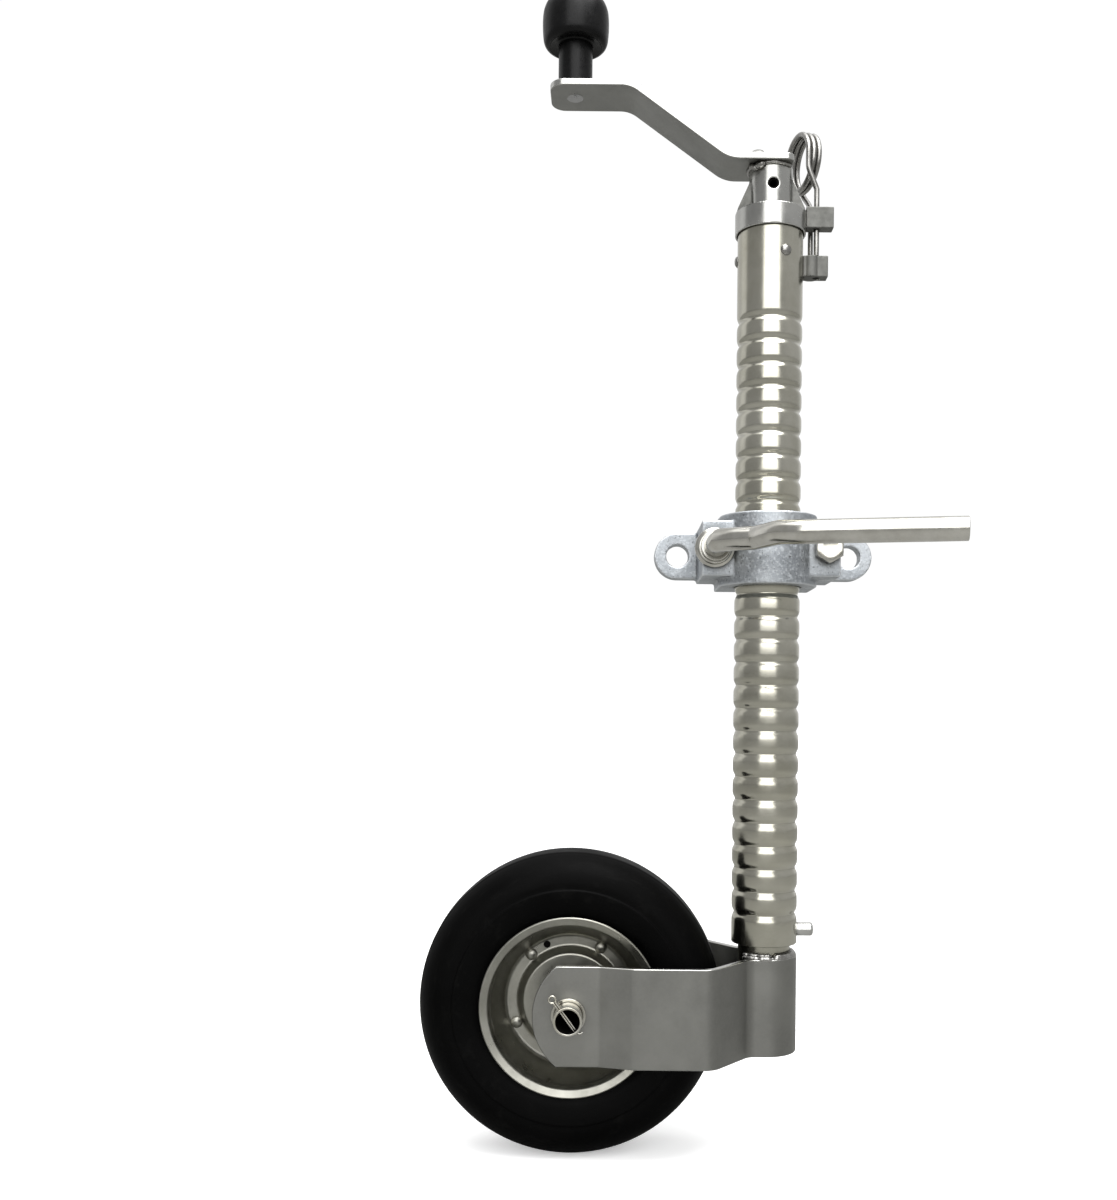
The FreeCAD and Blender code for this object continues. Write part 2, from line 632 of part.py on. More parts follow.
def clip_coil():
    """Points of the double coil, from the leg's side over the top, ending past the far side."""
    points = []
    for index in range(CLIP_COIL_STEPS + 1):
        turned_by = CLIP_SWEEP * index / CLIP_COIL_STEPS
        angle = math.pi - turned_by
        points.append(clip_point(CLIP_RING_RADIUS * (1 + math.cos(angle)),
                                 CLIP_RING_Z + CLIP_RING_RADIUS * math.sin(angle),
                                 CLIP_RING_OUTWARD + CLIP_COIL_PITCH * turned_by / (2 * math.pi)))
    return points


def r_clip():
    """Spring cotter: a straight leg, a double coil and a wavy leg, in one wire."""
    leg_top = clip_point(0, CLIP_STRAIGHT_TOP, 0)
    neck = [clip_point(*point) for point in CLIP_NECK]
    wave = [clip_point(*point) for point in CLIP_WAVE]
    curve = Part.BSplineCurve()
    curve.interpolate([leg_top] + neck + clip_coil() + wave)
    leg = straight(clip_point(0, CLIP_BOTTOM, 0), leg_top)
    return round_bar_along(Part.Wire([leg, curve.toShape()]), CLIP_WIRE_RADIUS)


# ---- inner leg ----------------------------------------------------------------------------
def screw_nut():
    """Round nut in the inner tube's head."""
    outside = INNER_RADIUS - INNER_WALL - RUNNING_GAP
    return upright_ring(outside, SCREW_RADIUS + RUNNING_GAP, INNER_TOP - NUT_LENGTH, INNER_TOP)


def inner_tube():
    return upright_ring(INNER_RADIUS, INNER_RADIUS - INNER_WALL, STRAP_BOTTOM, INNER_TOP)


def strap_centre_line():
    """The strap's middle seen from above: out past the wheel, round the tube and back."""
    half = STRAP_THICKNESS / 2
    wrap = INNER_RADIUS + half
    beside_tyre = STRAP_OUTER_TYRE - half
    beside_axle = STRAP_OUTER_AXLE - half
    run_out = STRAP_TIP_X - 2
    edges = [Part.Arc(Vector(0, -wrap, 0), Vector(wrap, 0, 0), Vector(0, wrap, 0)).toShape()]
    for side in (-1, 1):
        corners = [Vector(0, side * wrap, 0)]
        for x, y in zip(STRAP_BEND_XS, (wrap, beside_tyre, beside_tyre, beside_axle)):
            corners.append(Vector(x, side * y, 0))
        corners.append(Vector(run_out, side * beside_axle, 0))
        edges += rounded_path(corners, STRAP_BEND).Edges
    return Part.Wire(Part.__sortEdges__(edges))


def strap_side_view():
    """The strap seen from the side: straight, with a bowed end beyond the axle."""
    lower = Vector(STRAP_CORNER_X, -FAR, STRAP_BOTTOM)
    upper = Vector(STRAP_CORNER_X, -FAR, STRAP_TOP)
    tip = Vector(STRAP_TIP_X, -FAR, (STRAP_BOTTOM + STRAP_TOP) / 2)
    right_low = Vector(FAR, -FAR, STRAP_BOTTOM)
    right_high = Vector(FAR, -FAR, STRAP_TOP)
    edges = [Part.Arc(upper, tip, lower).toShape(), straight(lower, right_low),
             straight(right_low, right_high), straight(right_high, upper)]
    return Part.Face(Part.Wire(edges)).extrude(Y_AXIS * 2 * FAR)


def fork():
    """One flat strap wrapped round the inner tube and bent out past both sides of the wheel."""
    half = STRAP_THICKNESS / 2
    line = strap_centre_line()
    outside = line.makeOffset2D(half, join=0, fill=False, openResult=True)
    inside = line.makeOffset2D(-half, join=0, fill=False, openResult=True)
    edges = outside.Edges + inside.Edges
    for side in (-1, 1):
        end_x = STRAP_TIP_X - 2
        outer_corner = Vector(end_x, side * STRAP_OUTER_AXLE, 0)
        inner_corner = Vector(end_x, side * (STRAP_OUTER_AXLE - STRAP_THICKNESS), 0)
        edges.append(straight(inner_corner, outer_corner))
    face = Part.Face(Part.Wire(Part.__sortEdges__(edges)))
    face.translate(Z_AXIS * STRAP_BOTTOM)
    strap = face.extrude(Z_AXIS * STRAP_HEIGHT).common(strap_side_view())
    return strap.cut(level_drill(AXLE_RADIUS, AXLE_X, AXLE_Z))


def fork_weld():
    """Crowned weld bead round the inner tube that covers the strap's top edge."""
    foot = Vector(INNER_RADIUS + FORK_WELD_WIDTH, 0, STRAP_TOP)
    crown = Vector(INNER_RADIUS + FORK_WELD_WIDTH * 0.8, 0, STRAP_TOP + FORK_WELD_HEIGHT * 0.7)
    root = Vector(INNER_RADIUS, 0, STRAP_TOP + FORK_WELD_HEIGHT)
    return turned([Vector(INNER_RADIUS, 0, STRAP_TOP), (foot, crown, root)], ORIGIN, Z_AXIS)


def along_axle(offset):
    """A point on the axle's centre line."""
    return Vector(AXLE_X, offset, AXLE_Z)


def axle_tube():
    """Hollow axle, cross-drilled at both ends for the split pins."""
    ends = (along_axle(-AXLE_HALF_LENGTH), along_axle(AXLE_HALF_LENGTH))
    axle = ring(AXLE_RADIUS, AXLE_RADIUS - AXLE_WALL, *ends)
    for side in (-1, 1):
        centre = along_axle(side * PIN_OFFSET)
        axle = axle.cut(rod(PIN_RADIUS, centre - PIN_WAY * PIN_BELOW, centre + PIN_WAY * PIN_ABOVE))
    return axle


def axle_spacers():
    """Thick washers between the hub and the fork."""
    spacers = []
    for side in (-1, 1):
        hub_end = along_axle(side * (HUB_HALF_LENGTH + SPACER_GAP))
        fork_face = along_axle(side * (STRAP_OUTER_AXLE - STRAP_THICKNESS))
        spacers.append(ring(SPACER_RADIUS, AXLE_RADIUS, hub_end, fork_face))
    return spacers


def axle_washers():
    """Thin washers outside the fork, under the split pins."""
    washers = []
    for side in (-1, 1):
        fork_face = along_axle(side * STRAP_OUTER_AXLE)
        outer_face = along_axle(side * (STRAP_OUTER_AXLE + AXLE_WASHER_THICKNESS))
        washers.append(ring(AXLE_WASHER_RADIUS, AXLE_RADIUS, fork_face, outer_face))
    return washers


def split_pins():
    """Split pins through the axle's ends, each with an eye on top and a spread foot."""
    pins = []
    for side in (-1, 1):
        centre = along_axle(side * PIN_OFFSET)
        shank = rod(PIN_RADIUS, centre - PIN_WAY * PIN_BELOW, centre + PIN_WAY * PIN_ABOVE)
        eye_centre = centre + PIN_WAY * (PIN_ABOVE + PIN_EYE_RADIUS - PIN_LEG_RADIUS / 2)
        eye = Part.makeTorus(PIN_EYE_RADIUS, PIN_LEG_RADIUS, eye_centre, Y_AXIS)
        foot_start = centre - PIN_WAY * (PIN_BELOW - PIN_LEG_RADIUS / 2)
        foot = rod(PIN_LEG_RADIUS, foot_start, foot_start + PIN_FOOT)
        pins.append(joined([shank, eye, foot]))
    return pins


# ---- wheel --------------------------------------------------------------------------------
def section_point(radius, along):
    """A point of the wheel's half section: distance from the axle, and along it."""
    return Vector(AXLE_X + radius, along, AXLE_Z)


def about_axle(outline):
    return turned(outline, along_axle(0), Y_AXIS)


def wheel_point(radius, degrees):
    """A point in the wheel's middle plane, at this distance and direction from the axle."""
    angle = math.radians(degrees)
    return along_axle(0) + Vector(math.cos(angle), 0, math.sin(angle)) * radius


def tyre():
    """Smooth rubber tyre: bead, bulged side wall, shoulder and a slightly crowned tread."""
    half_outline = [(RIM_RADIUS + 1.0, BEAD_HALF_WIDTH + 1.0), (83, TYRE_HALF_WIDTH),
                    (96, TYRE_HALF_WIDTH - 2.0), (101, TYRE_HALF_WIDTH - 5.5), (107, 19.5),
                    (WHEEL_RADIUS - 0.6, 13)]
    near = [section_point(radius, -along) for radius, along in half_outline]
    far = [section_point(radius, along) for radius, along in reversed(half_outline)]
    crown = (section_point(WHEEL_RADIUS - 0.5, -10), section_point(WHEEL_RADIUS, 0),
             section_point(WHEEL_RADIUS - 0.5, 10))
    bead_top = RIM_RADIUS - 1.5
    outline = [section_point(TYRE_BORE, -BEAD_HALF_WIDTH), section_point(bead_top, -BEAD_HALF_WIDTH),
               tuple(near[:3]), tuple(near[3:]), crown, tuple(far[:3]), tuple(far[3:]),
               section_point(bead_top, BEAD_HALF_WIDTH), section_point(TYRE_BORE, BEAD_HALF_WIDTH)]
    return about_axle(outline)


def rim_half(side):
    """One pressed half of the rim: flange, bead seat, sloping wall, flat disc and hub boss."""
    sheet = RIM_SHEET
    seat = TYRE_BORE
    back = [(HUB_RADIUS, 9.0 - sheet), (29, 9.0 - sheet), (36, sheet + 0.2), (36, 0.05), (49, 0.05),
            (seat - sheet, 20), (seat - 0.05, 20), (seat - 0.05, 28.2),
            (RIM_RADIUS - 0.5, 29.8), (RIM_RADIUS, 31.0)]
    front = [(RIM_RADIUS - 1.0, 31.9), (seat - 0.5, 30.2), (seat - sheet, 27), (seat - sheet, 21.5),
             (48, sheet), (39, sheet), (34.5, 9.0), (HUB_RADIUS, 9.0)]
    return about_axle([section_point(radius, side * along) for radius, along in back + front])


def rivet_points():
    pitch = 360 / RIM_RIVET_COUNT
    angles = [RIM_RIVET_FIRST + pitch * index for index in range(RIM_RIVET_COUNT)]
    return [wheel_point(RIM_RIVET_CIRCLE, angle) for angle in angles]


def drilled_rim(side, vent_angle):
    """A rim half with its rivet holes and one vent."""
    rim = rim_half(side)
    for point in rivet_points() + [wheel_point(RIM_RIVET_CIRCLE, vent_angle)]:
        rim = rim.cut(level_drill(RIVET_RADIUS, point.x, point.z))
    return rim


def rim_rivets():
    """Flat-headed rivets that hold the two rim halves back to back."""
    rivets = []
    for point in rivet_points():
        reach = Y_AXIS * (RIM_SHEET + OVERLAP)
        shank = rod(RIVET_RADIUS, point - reach, point + reach)
        solids = [shank]
        for side in (-1, 1):
            seat = point + Y_AXIS * side * RIM_SHEET
            solids.append(rod(RIM_RIVET_HEAD_RADIUS, seat, seat + Y_AXIS * side * RIM_RIVET_HEAD_HEIGHT))
        rivets.append(joined(solids))
    return rivets


def hub_tube():
    return ring(HUB_RADIUS, HUB_BORE, along_axle(-HUB_HALF_LENGTH), along_axle(HUB_HALF_LENGTH))


def hub_bushes():
    """Nylon bushes in both ends of the hub."""
    bushes = []
    for side in (-1, 1):
        outer_end = along_axle(side * HUB_HALF_LENGTH)
        inner_end = along_axle(side * (HUB_HALF_LENGTH - HUB_BUSH_LENGTH))
        bushes.append(ring(HUB_BORE, AXLE_RADIUS + RUNNING_GAP, inner_end, outer_end))
    return bushes


# ---- write every node ---------------------------------------------------------------------
def main():
    os.makedirs("parts", exist_ok=True)
    save("clamp_base", clamp_base())
    save("clamp_cap", clamp_cap())
    save("clamp_hex_bolt", clamp_hex_bolt())
    save("handle_washer", handle_washer())
    save("clamp_handle", clamp_handle())

    save("outer_tube", outer_tube())
    save("tube_lug", tube_lug())
    save("stop_stud", stop_stud())
    save("bush_rivets", *bush_rivets())
    save("top_bush", top_bush())
    save("thrust_race_lower", lower_race())

    save("thrust_race_upper", upper_race())
    save("thrust_balls", *thrust_balls())
    save("crank_collar", crank_collar())
    save("collar_lug", collar_lug())
    save("crank_arm", crank_arm())
    save("crank_welds", *crank_welds())
    save("roll_pin", roll_pin())
    save("lead_screw", lead_screw())
    save("screw_retaining_ring", screw_retaining_ring())
    save("knob_pin", knob_pin())
    save("knob", knob())
    save("r_clip", r_clip())

    save("screw_nut", screw_nut())
    save("inner_tube", inner_tube())
    save("fork", fork())
    save("fork_weld", fork_weld())
    save("axle_tube", axle_tube())
    save("axle_spacers", *axle_spacers())
    save("axle_washers", *axle_washers())
    save("split_pins", *split_pins())

    rivet_pitch = 360 / RIM_RIVET_COUNT
    save("tyre", tyre())
    save("rim_near", drilled_rim(-1, VENT_ANGLE))
    save("rim_far", drilled_rim(1, VENT_ANGLE + rivet_pitch))
    save("rim_rivets", *rim_rivets())
    save("hub_tube", hub_tube())
    save("hub_bushes", *hub_bushes())


main()
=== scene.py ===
# Trailer jack wheel: the looks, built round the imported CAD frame.
#
# The builders below work in millimetres from the point where the jack tube's axis meets the ground:
# +X from the wheel towards the tube, -Y towards the camera, +Z up. to_frame() turns such a point into
# the row frame's metres. Each piece rides on its CAD body and stands for the CAD node that it names.
import json
import math

import bmesh
import bpy
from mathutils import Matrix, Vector, noise

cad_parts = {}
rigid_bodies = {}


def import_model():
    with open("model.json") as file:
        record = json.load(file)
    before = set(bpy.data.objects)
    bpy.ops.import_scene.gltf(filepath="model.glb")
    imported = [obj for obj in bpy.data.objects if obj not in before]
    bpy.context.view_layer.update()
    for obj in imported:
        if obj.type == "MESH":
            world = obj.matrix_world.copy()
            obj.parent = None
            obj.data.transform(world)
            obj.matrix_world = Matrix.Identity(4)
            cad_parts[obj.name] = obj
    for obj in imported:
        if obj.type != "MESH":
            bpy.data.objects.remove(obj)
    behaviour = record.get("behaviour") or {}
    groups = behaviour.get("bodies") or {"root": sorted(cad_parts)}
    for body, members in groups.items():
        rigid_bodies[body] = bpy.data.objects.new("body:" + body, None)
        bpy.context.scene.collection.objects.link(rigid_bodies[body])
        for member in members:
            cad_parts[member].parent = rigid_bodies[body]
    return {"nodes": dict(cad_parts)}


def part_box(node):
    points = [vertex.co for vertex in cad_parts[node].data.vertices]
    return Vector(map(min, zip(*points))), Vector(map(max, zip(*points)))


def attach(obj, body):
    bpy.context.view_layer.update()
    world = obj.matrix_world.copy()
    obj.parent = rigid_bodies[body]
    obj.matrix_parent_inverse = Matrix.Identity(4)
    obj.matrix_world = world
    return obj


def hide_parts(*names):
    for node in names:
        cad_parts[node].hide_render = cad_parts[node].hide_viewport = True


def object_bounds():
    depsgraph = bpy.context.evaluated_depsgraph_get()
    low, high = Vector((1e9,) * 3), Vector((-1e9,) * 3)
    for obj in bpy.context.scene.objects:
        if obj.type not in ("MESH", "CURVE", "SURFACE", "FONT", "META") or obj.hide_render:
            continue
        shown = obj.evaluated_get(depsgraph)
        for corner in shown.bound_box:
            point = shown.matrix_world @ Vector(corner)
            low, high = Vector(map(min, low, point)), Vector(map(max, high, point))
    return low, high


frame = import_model()
cad_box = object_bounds()

X_AXIS = Vector((1, 0, 0))
Y_AXIS = Vector((0, 1, 0))
Z_AXIS = Vector((0, 0, 1))
TUBE_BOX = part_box("outer_tube")
# the ground point under the tube's axis, in the row frame
BASE = Vector((0.0, (TUBE_BOX[0].y + TUBE_BOX[1].y) / 2, cad_box[0].z))


def to_frame(point):
    return BASE + Vector(point) / 1000


def box_mm(node):
    """Lowest and highest corner of a CAD node, in the builders' millimetres."""
    low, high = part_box(node)
    return (low - BASE) * 1000, (high - BASE) * 1000


# ---- measures, in millimetres -------------------------------------------------------------
TUBE_LOW, TUBE_HIGH = box_mm("outer_tube")
TUBE_RADIUS = (TUBE_HIGH.y - TUBE_LOW.y) / 2
TUBE_WALL = 2.5
TUBE_BOTTOM = TUBE_LOW.z
TUBE_TOP = TUBE_HIGH.z
GROOVE_COUNT = 27
GROOVE_PITCH = 16.67
GROOVE_FIRST = TUBE_BOTTOM + 22.2
GROOVE_DEPTH = 1.7
GROOVE_SPREAD = 2.5
RIB_CROWN = 0.3                 # how far a rib's edges lie inside its middle

INNER_LOW, INNER_HIGH = box_mm("inner_tube")
INNER_RADIUS = (INNER_HIGH.y - INNER_LOW.y) / 2
INNER_WALL = 2.5

TYRE_LOW, TYRE_HIGH = box_mm("tyre")
AXLE = (TYRE_LOW + TYRE_HIGH) / 2
WHEEL_CENTRE = (AXLE.x, 0, AXLE.z)
WHEEL_RADIUS = (TYRE_HIGH.z - TYRE_LOW.z) / 2
TYRE_HALF_WIDTH = (TYRE_HIGH.y - TYRE_LOW.y) / 2
TYRE_BORE = 59.0
RIM_RADIUS = 65.0
AXLE_RADIUS = 10.0
AXLE_WALL = 1.6
SPLIT_PIN_OFFSET = 66.0
SPLIT_PIN_WIRE = 0.75
HUB_TUBE_RADIUS = 16.0
HUB_TUBE_BORE = 13.0
RIM_SHEET = 1.8
RIVET_CIRCLE = 43.5
RIM_RIVET_COUNT = 5
RIVET_START = 60.0
VENT_ANGLE = 114.0
VENT_RADIUS = 2.6

STRAP_LOW, STRAP_HIGH = box_mm("fork")
STRAP_THICKNESS = 5.0
STRAP_OUTER_AXLE = 52.0
STRAP_OUTER_MIDDLE = (STRAP_HIGH.y - STRAP_LOW.y) / 2

ARM_LOW, ARM_HIGH = box_mm("crank_arm")
ARM_HALF_WIDTH = (ARM_HIGH.y - ARM_LOW.y) / 2
ARM_THICKNESS = 5.0
ARM_SLOPE = 0.725
CRANK_RADIUS = 145.0
HUB_RADIUS = 16.2               # just outside the crank's hub
WEB_FOOT_RISE = 12.4            # from the tube's head to the webs' foot

KNOB_LOW, KNOB_HIGH = box_mm("knob")
CLIP_LEG_X = 34.0
CLIP_WIRE_RADIUS = 2.0
CLIP_RING_RADIUS = 20.0
CLIP_RING_Z = 735.0
CLIP_RING_OUTWARD = -7.0
CLIP_COIL_PITCH = 2 * CLIP_WIRE_RADIUS + 0.3
CLIP_SWEEP = math.radians(2 * 360 + 180 + 40)
CLIP_ANGLE = math.radians(108)
CLIP_STRAIGHT_TOP = 708.6

CLAMP_Z = (box_mm("clamp_cap")[0].z + box_mm("clamp_cap")[1].z) / 2
SCREW_X = 41.0
EAR_TOP = 24.0
HANDLE_RADIUS = 8.0

AXES = {"X": (Y_AXIS, Z_AXIS, X_AXIS), "Y": (Z_AXIS, X_AXIS, Y_AXIS), "Z": (X_AXIS, Y_AXIS, Z_AXIS)}


# ---- outlines and lines -------------------------------------------------------------------
def rounded(corners, radius, steps=3, closed=True):
    """An outline or a flat line with its corners cut round. A corner may bring its own radius last."""
    count = len(corners)
    line = []
    for index, corner in enumerate(corners):
        own = corner[2] if len(corner) > 2 else radius
        here = Vector(corner[:2])
        at_end = not closed and index in (0, count - 1)
        if own == 0 or at_end:
            line.append(here)
            continue
        before = Vector(corners[index - 1][:2]) - here
        after = Vector(corners[(index + 1) % count][:2]) - here
        half_angle = before.angle(after) / 2
        reach = min(own / math.tan(half_angle), 0.48 * before.length, 0.48 * after.length)
        start = here + before.normalized() * reach
        end = here + after.normalized() * reach
        for step in range(steps + 1):
            t = step / steps
            line.append(start * (1 - t) ** 2 + here * 2 * t * (1 - t) + end * t * t)
    return line


def smooth_line(points, steps):
    """A Catmull-Rom curve through the points."""
    points = [Vector(p) for p in points]
    padded = [points[0] * 2 - points[1]] + points + [points[-1] * 2 - points[-2]]
    line = []
    for a, b, c, d in zip(padded, padded[1:], padded[2:], padded[3:]):
        for step in range(steps):
            t = step / steps
            line.append(0.5 * (2 * b + (c - a) * t + (2 * a - 5 * b + 4 * c - d) * t ** 2
                               + (3 * b - a - 3 * c + d) * t ** 3))
    line.append(points[-1])
    return line


def arc_line(start, corner, end, radius, steps=16, straight=8):
    """Points along two straight runs with an arc of the bend radius between them."""
    back = (start - corner).normalized()
    on = (end - corner).normalized()
    half_angle = back.angle(on) / 2
    reach = radius / math.tan(half_angle)
    centre = corner + (back + on).normalized() * radius / math.sin(half_angle)
    first = corner + back * reach
    last = corner + on * reach
    line = [start.lerp(first, step / straight) for step in range(straight)]
    for step in range(steps + 1):
        line.append(centre + (first - centre).slerp(last - centre, step / steps))
    return line + [last.lerp(end, (step + 1) / straight) for step in range(straight)]


def distances(line):
    """How far along a line each of its points lies."""
    reached = [0.0]
    for before, after in zip(line, line[1:]):
        reached.append(reached[-1] + (after - before).length)
    return reached


def along_line(line):
    """Distances along a flat line, and a function that gives the point and the normal at a distance."""
    reached = distances(line)

    def at(distance):
        index = 0
        while index < len(reached) - 2 and distance > reached[index + 1]:
            index += 1
        span = reached[index + 1] - reached[index]
        share = (distance - reached[index]) / span

        def way(number):
            number = min(max(number, 0), len(line) - 2)
            return (line[number + 1] - line[number]).normalized()

        here = way(index)
        start = (way(index - 1) + here).normalized()
        end = (here + way(index + 1)).normalized()
        tangent = start.lerp(end, min(max(share, 0), 1)).normalized()
        point = line[index] + (line[index + 1] - line[index]) * share
        return point, Vector((-tangent.y, tangent.x))

    return reached, at


def full_turn(count):
    """Evenly spaced angles once round."""
    return [2 * math.pi * step / count for step in range(count)]


def ring(inner, outer, low, high, edge):
    """The outline of a plain tube, washer or rod with rounded edges."""
    return rounded([(inner, low), (outer, low), (outer, high), (inner, high)], edge)


# ---- meshes -------------------------------------------------------------------------------
def skin(rows, closed=False):
    """Points and faces of a surface through rows of points. Each row goes once round."""
    count = len(rows)
    sides = len(rows[0])
    faces = []
    for row in range(count if closed else count - 1):
        after = (row + 1) % count
        for step in range(sides):
            turn = (step + 1) % sides
            faces.append((row * sides + step, after * sides + step, after * sides + turn, row * sides + turn))
    return [point for row in rows for point in row], faces


def turned(outline, centre, axis, segments=96, closed=True):
    """Points and faces of an outline of (distance from the axis, distance along it) turned full circle."""
    across, up, along = AXES[axis]
    centre = Vector(centre)
    rows = []
    for radius, offset in outline:
        row = []
        for angle in full_turn(segments):
            out = across * math.cos(angle) + up * math.sin(angle)
            row.append(centre + along * offset + out * radius)
        rows.append(row)
    return skin(rows, closed)


def bar_along(line, radius_at, sides=20):
    """Points and faces of a round bar along a line. radius_at(index) is its radius at each point."""
    line = [Vector(p) for p in line]
    normal = None
    rows = []
    for index, here in enumerate(line):
        ahead = line[min(index + 1, len(line) - 1)]
        behind = line[max(index - 1, 0)]
        tangent = (ahead - behind).normalized()
        if normal is None:
            normal = tangent.orthogonal().normalized()
        normal = (normal - tangent * normal.dot(tangent)).normalized()
        side = tangent.cross(normal)
        row = []
        for angle in full_turn(sides):
            row.append(here + (normal * math.cos(angle) + side * math.sin(angle)) * radius_at(index))
        rows.append(row)
    points, faces = skin(rows)
    ends = [tuple(range(sides)), tuple(range(len(points) - sides, len(points)))]
    return points, ends + faces


def lump(profile, centre, ways, sides, rough, waves, seed=0.0):
    """Points and faces of a round lump with an uneven rim, such as a rivet's head.

    profile is (radius, rise) for each row, and ways are the way that it rises and the two ways across.
    """
    out, across, up = ways
    rows = []
    for radius, rise in profile:
        row = []
        for angle in full_turn(sides):
            place = Vector((waves * math.cos(angle), waves * math.sin(angle), seed + radius))
            ragged = 1 + rough * noise.noise(place)
            flat = across * math.cos(angle) + up * math.sin(angle)
            row.append(centre + out * rise + flat * radius * ragged)
        rows.append(row)
    return skin(rows)


def round_bar(line, radius, sides=20, end_round=0.3):
    """A bar of even radius, with its two ends rounded over a share of the radius."""
    first, last = Vector(line[0]), Vector(line[-1])
    start_way = (Vector(line[1]) - first).normalized()
    end_way = (last - Vector(line[-2])).normalized()
    edge = radius * end_round
    angles = [math.pi / 2 * step / 4 for step in range(4)]
    caps = [(edge * (1 - math.cos(angle)), radius - edge * (1 - math.sin(angle))) for angle in angles]
    rows = [(first + start_way * inset, around) for inset, around in caps]
    rows += [(point, radius) for point in line[1:-1]]
    rows += [(last - end_way * inset, around) for inset, around in reversed(caps)]
    return bar_along([row[0] for row in rows], lambda index: rows[index][1], sides)


def bent_plate(half_outline, thickness, edge, place):
    """Points and faces of a flat bar with rounded edges, symmetrical about its long line.

    half_outline runs from one end to the other as (distance along, half width). place(along, aside, height)
    gives the point of the bent bar, with height measured through its thickness.
    """
    whole = [Vector(p) for p in half_outline]
    whole = whole + [Vector((p.x, -p.y)) for p in reversed(whole)]
    count = len(whole)
    inward = []
    for index, here in enumerate(whole):
        # skip a doubled point at a tip that ends in a point
        before = whole[index - 1] if (whole[index - 1] - here).length > 1e-4 else whole[index - 2]
        after = whole[(index + 1) % count]
        if (after - here).length < 1e-4:
            after = whole[(index + 2) % count]
        way = (after - before).normalized()
        inward.append(Vector((way.y, -way.x)))
    levels = []
    for step in range(4):
        angle = math.pi / 2 * step / 3
        levels.append((edge * (1 - math.sin(angle)), -thickness / 2 + edge * (1 - math.cos(angle))))
    levels = levels + [(inset, -height) for inset, height in reversed(levels)]
    rows = []
    for inset, height in levels:
        moved = [here + way * inset for here, way in zip(whole, inward)]
        rows.append([place(point.x, point.y, height) for point in moved])
    points, faces = skin(rows)
    for start in (0, (len(levels) - 1) * count):
        for index in range(count // 2 - 1):
            mirror = count - 1 - index
            faces.append((start + index, start + index + 1, start + mirror - 1, start + mirror))
    return points, faces


def joined(*shapes):
    """Several shapes' points and faces as one."""
    points, faces = [], []
    for some_points, some_faces in shapes:
        shift = len(points)
        points.extend(some_points)
        faces.extend(tuple(index + shift for index in face) for face in some_faces)
    return points, faces


def clean(mesh):
    """Weld doubled points, drop what that flattens, and turn every face outward."""
    work = bmesh.new()
    work.from_mesh(mesh)
    bmesh.ops.remove_doubles(work, verts=work.verts, dist=1e-7)
    bmesh.ops.dissolve_degenerate(work, edges=work.edges, dist=1e-7)
    bmesh.ops.recalc_face_normals(work, faces=work.faces)
    for face in work.faces:
        face.smooth = True
    work.to_mesh(mesh)
    work.free()


def mesh_of(name, shape):
    """A clean mesh in the row frame from points and faces in millimetres."""
    points, faces = shape
    mesh = bpy.data.meshes.new(name)
    mesh.from_pydata([to_frame(p) for p in points], [], faces)
    clean(mesh)
    return mesh


def add_object(name, mesh, look):
    mesh.materials.clear()
    mesh.materials.append(materials[look])
    obj = bpy.data.objects.new(name, mesh)
    bpy.context.scene.collection.objects.link(obj)
    return obj


def dress(obj, body, node):
    """The finished piece rides on its body and stands for its CAD node."""
    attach(obj, body)
    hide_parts(node)
    return obj


def piece(node, body, slot, shape, look=None):
    """A piece from points and faces in millimetres. Its look may differ from its slot's."""
    obj = add_object(node + "_look", mesh_of(node + "_look", shape), look or slot)
    weigh_normals(obj)
    return dress(obj, body, node)


def weigh_normals(obj):
    """Let the large faces set the shading, so that flat faces look flat."""
    normals = obj.modifiers.new("weighted normals", "WEIGHTED_NORMAL")
    normals.keep_sharp = True


def baked(obj):
    """Put what the modifiers make into the mesh itself."""
    bpy.context.view_layer.update()
    evaluated = obj.evaluated_get(bpy.context.evaluated_depsgraph_get())
    mesh = bpy.data.meshes.new_from_object(evaluated)
    obj.modifiers.clear()
    obj.data = mesh
    return obj


def softened(node, body, slot, voxel, rounds, look=None):
    """The CAD node's shape with cast-soft edges: remeshed finely and then relaxed."""
    look = look or slot
    mesh = frame["nodes"][node].data.copy()
    clean(mesh)
    obj = add_object(node + "_look", mesh, look)
    remesh = obj.modifiers.new("remesh", "REMESH")
    remesh.mode = "VOXEL"
    remesh.voxel_size = voxel / 1000
    remesh.use_smooth_shade = True
    relax = obj.modifiers.new("relax", "SMOOTH")
    relax.factor = 0.5
    relax.iterations = rounds
    baked(obj)
    obj.data.materials.clear()
    obj.data.materials.append(materials[look])
    return dress(obj, body, node)


def inked(obj, look, chosen):
    """Give a second material to the faces that are chosen by their middle, in millimetres, and normal."""
    obj.data.materials.append(materials[look])
    for face in obj.data.polygons:
        if chosen((face.center - BASE) * 1000, face.normal):
            face.material_index = 1


def drilled(obj, x, z, start, end, radius):
    """Cut a round hole along Y, from start to end."""
    outline = [(0, start), (radius, start), (radius, end), (0, end)]
    mesh = mesh_of("drill", turned(outline, (x, 0, z), "Y", 48, closed=False))
    drill = bpy.data.objects.new("drill", mesh)
    bpy.context.scene.collection.objects.link(drill)
    parent = obj.parent
    obj.modifiers.clear()
    cut = obj.modifiers.new("hole", "BOOLEAN")
    cut.operation = "DIFFERENCE"
    cut.solver = "EXACT"
    cut.object = drill
    baked(obj)
    obj.parent = parent
    obj.data.set_sharp_from_angle(angle=math.radians(50))
    weigh_normals(obj)
    bpy.data.objects.remove(drill)
    bpy.data.meshes.remove(mesh)


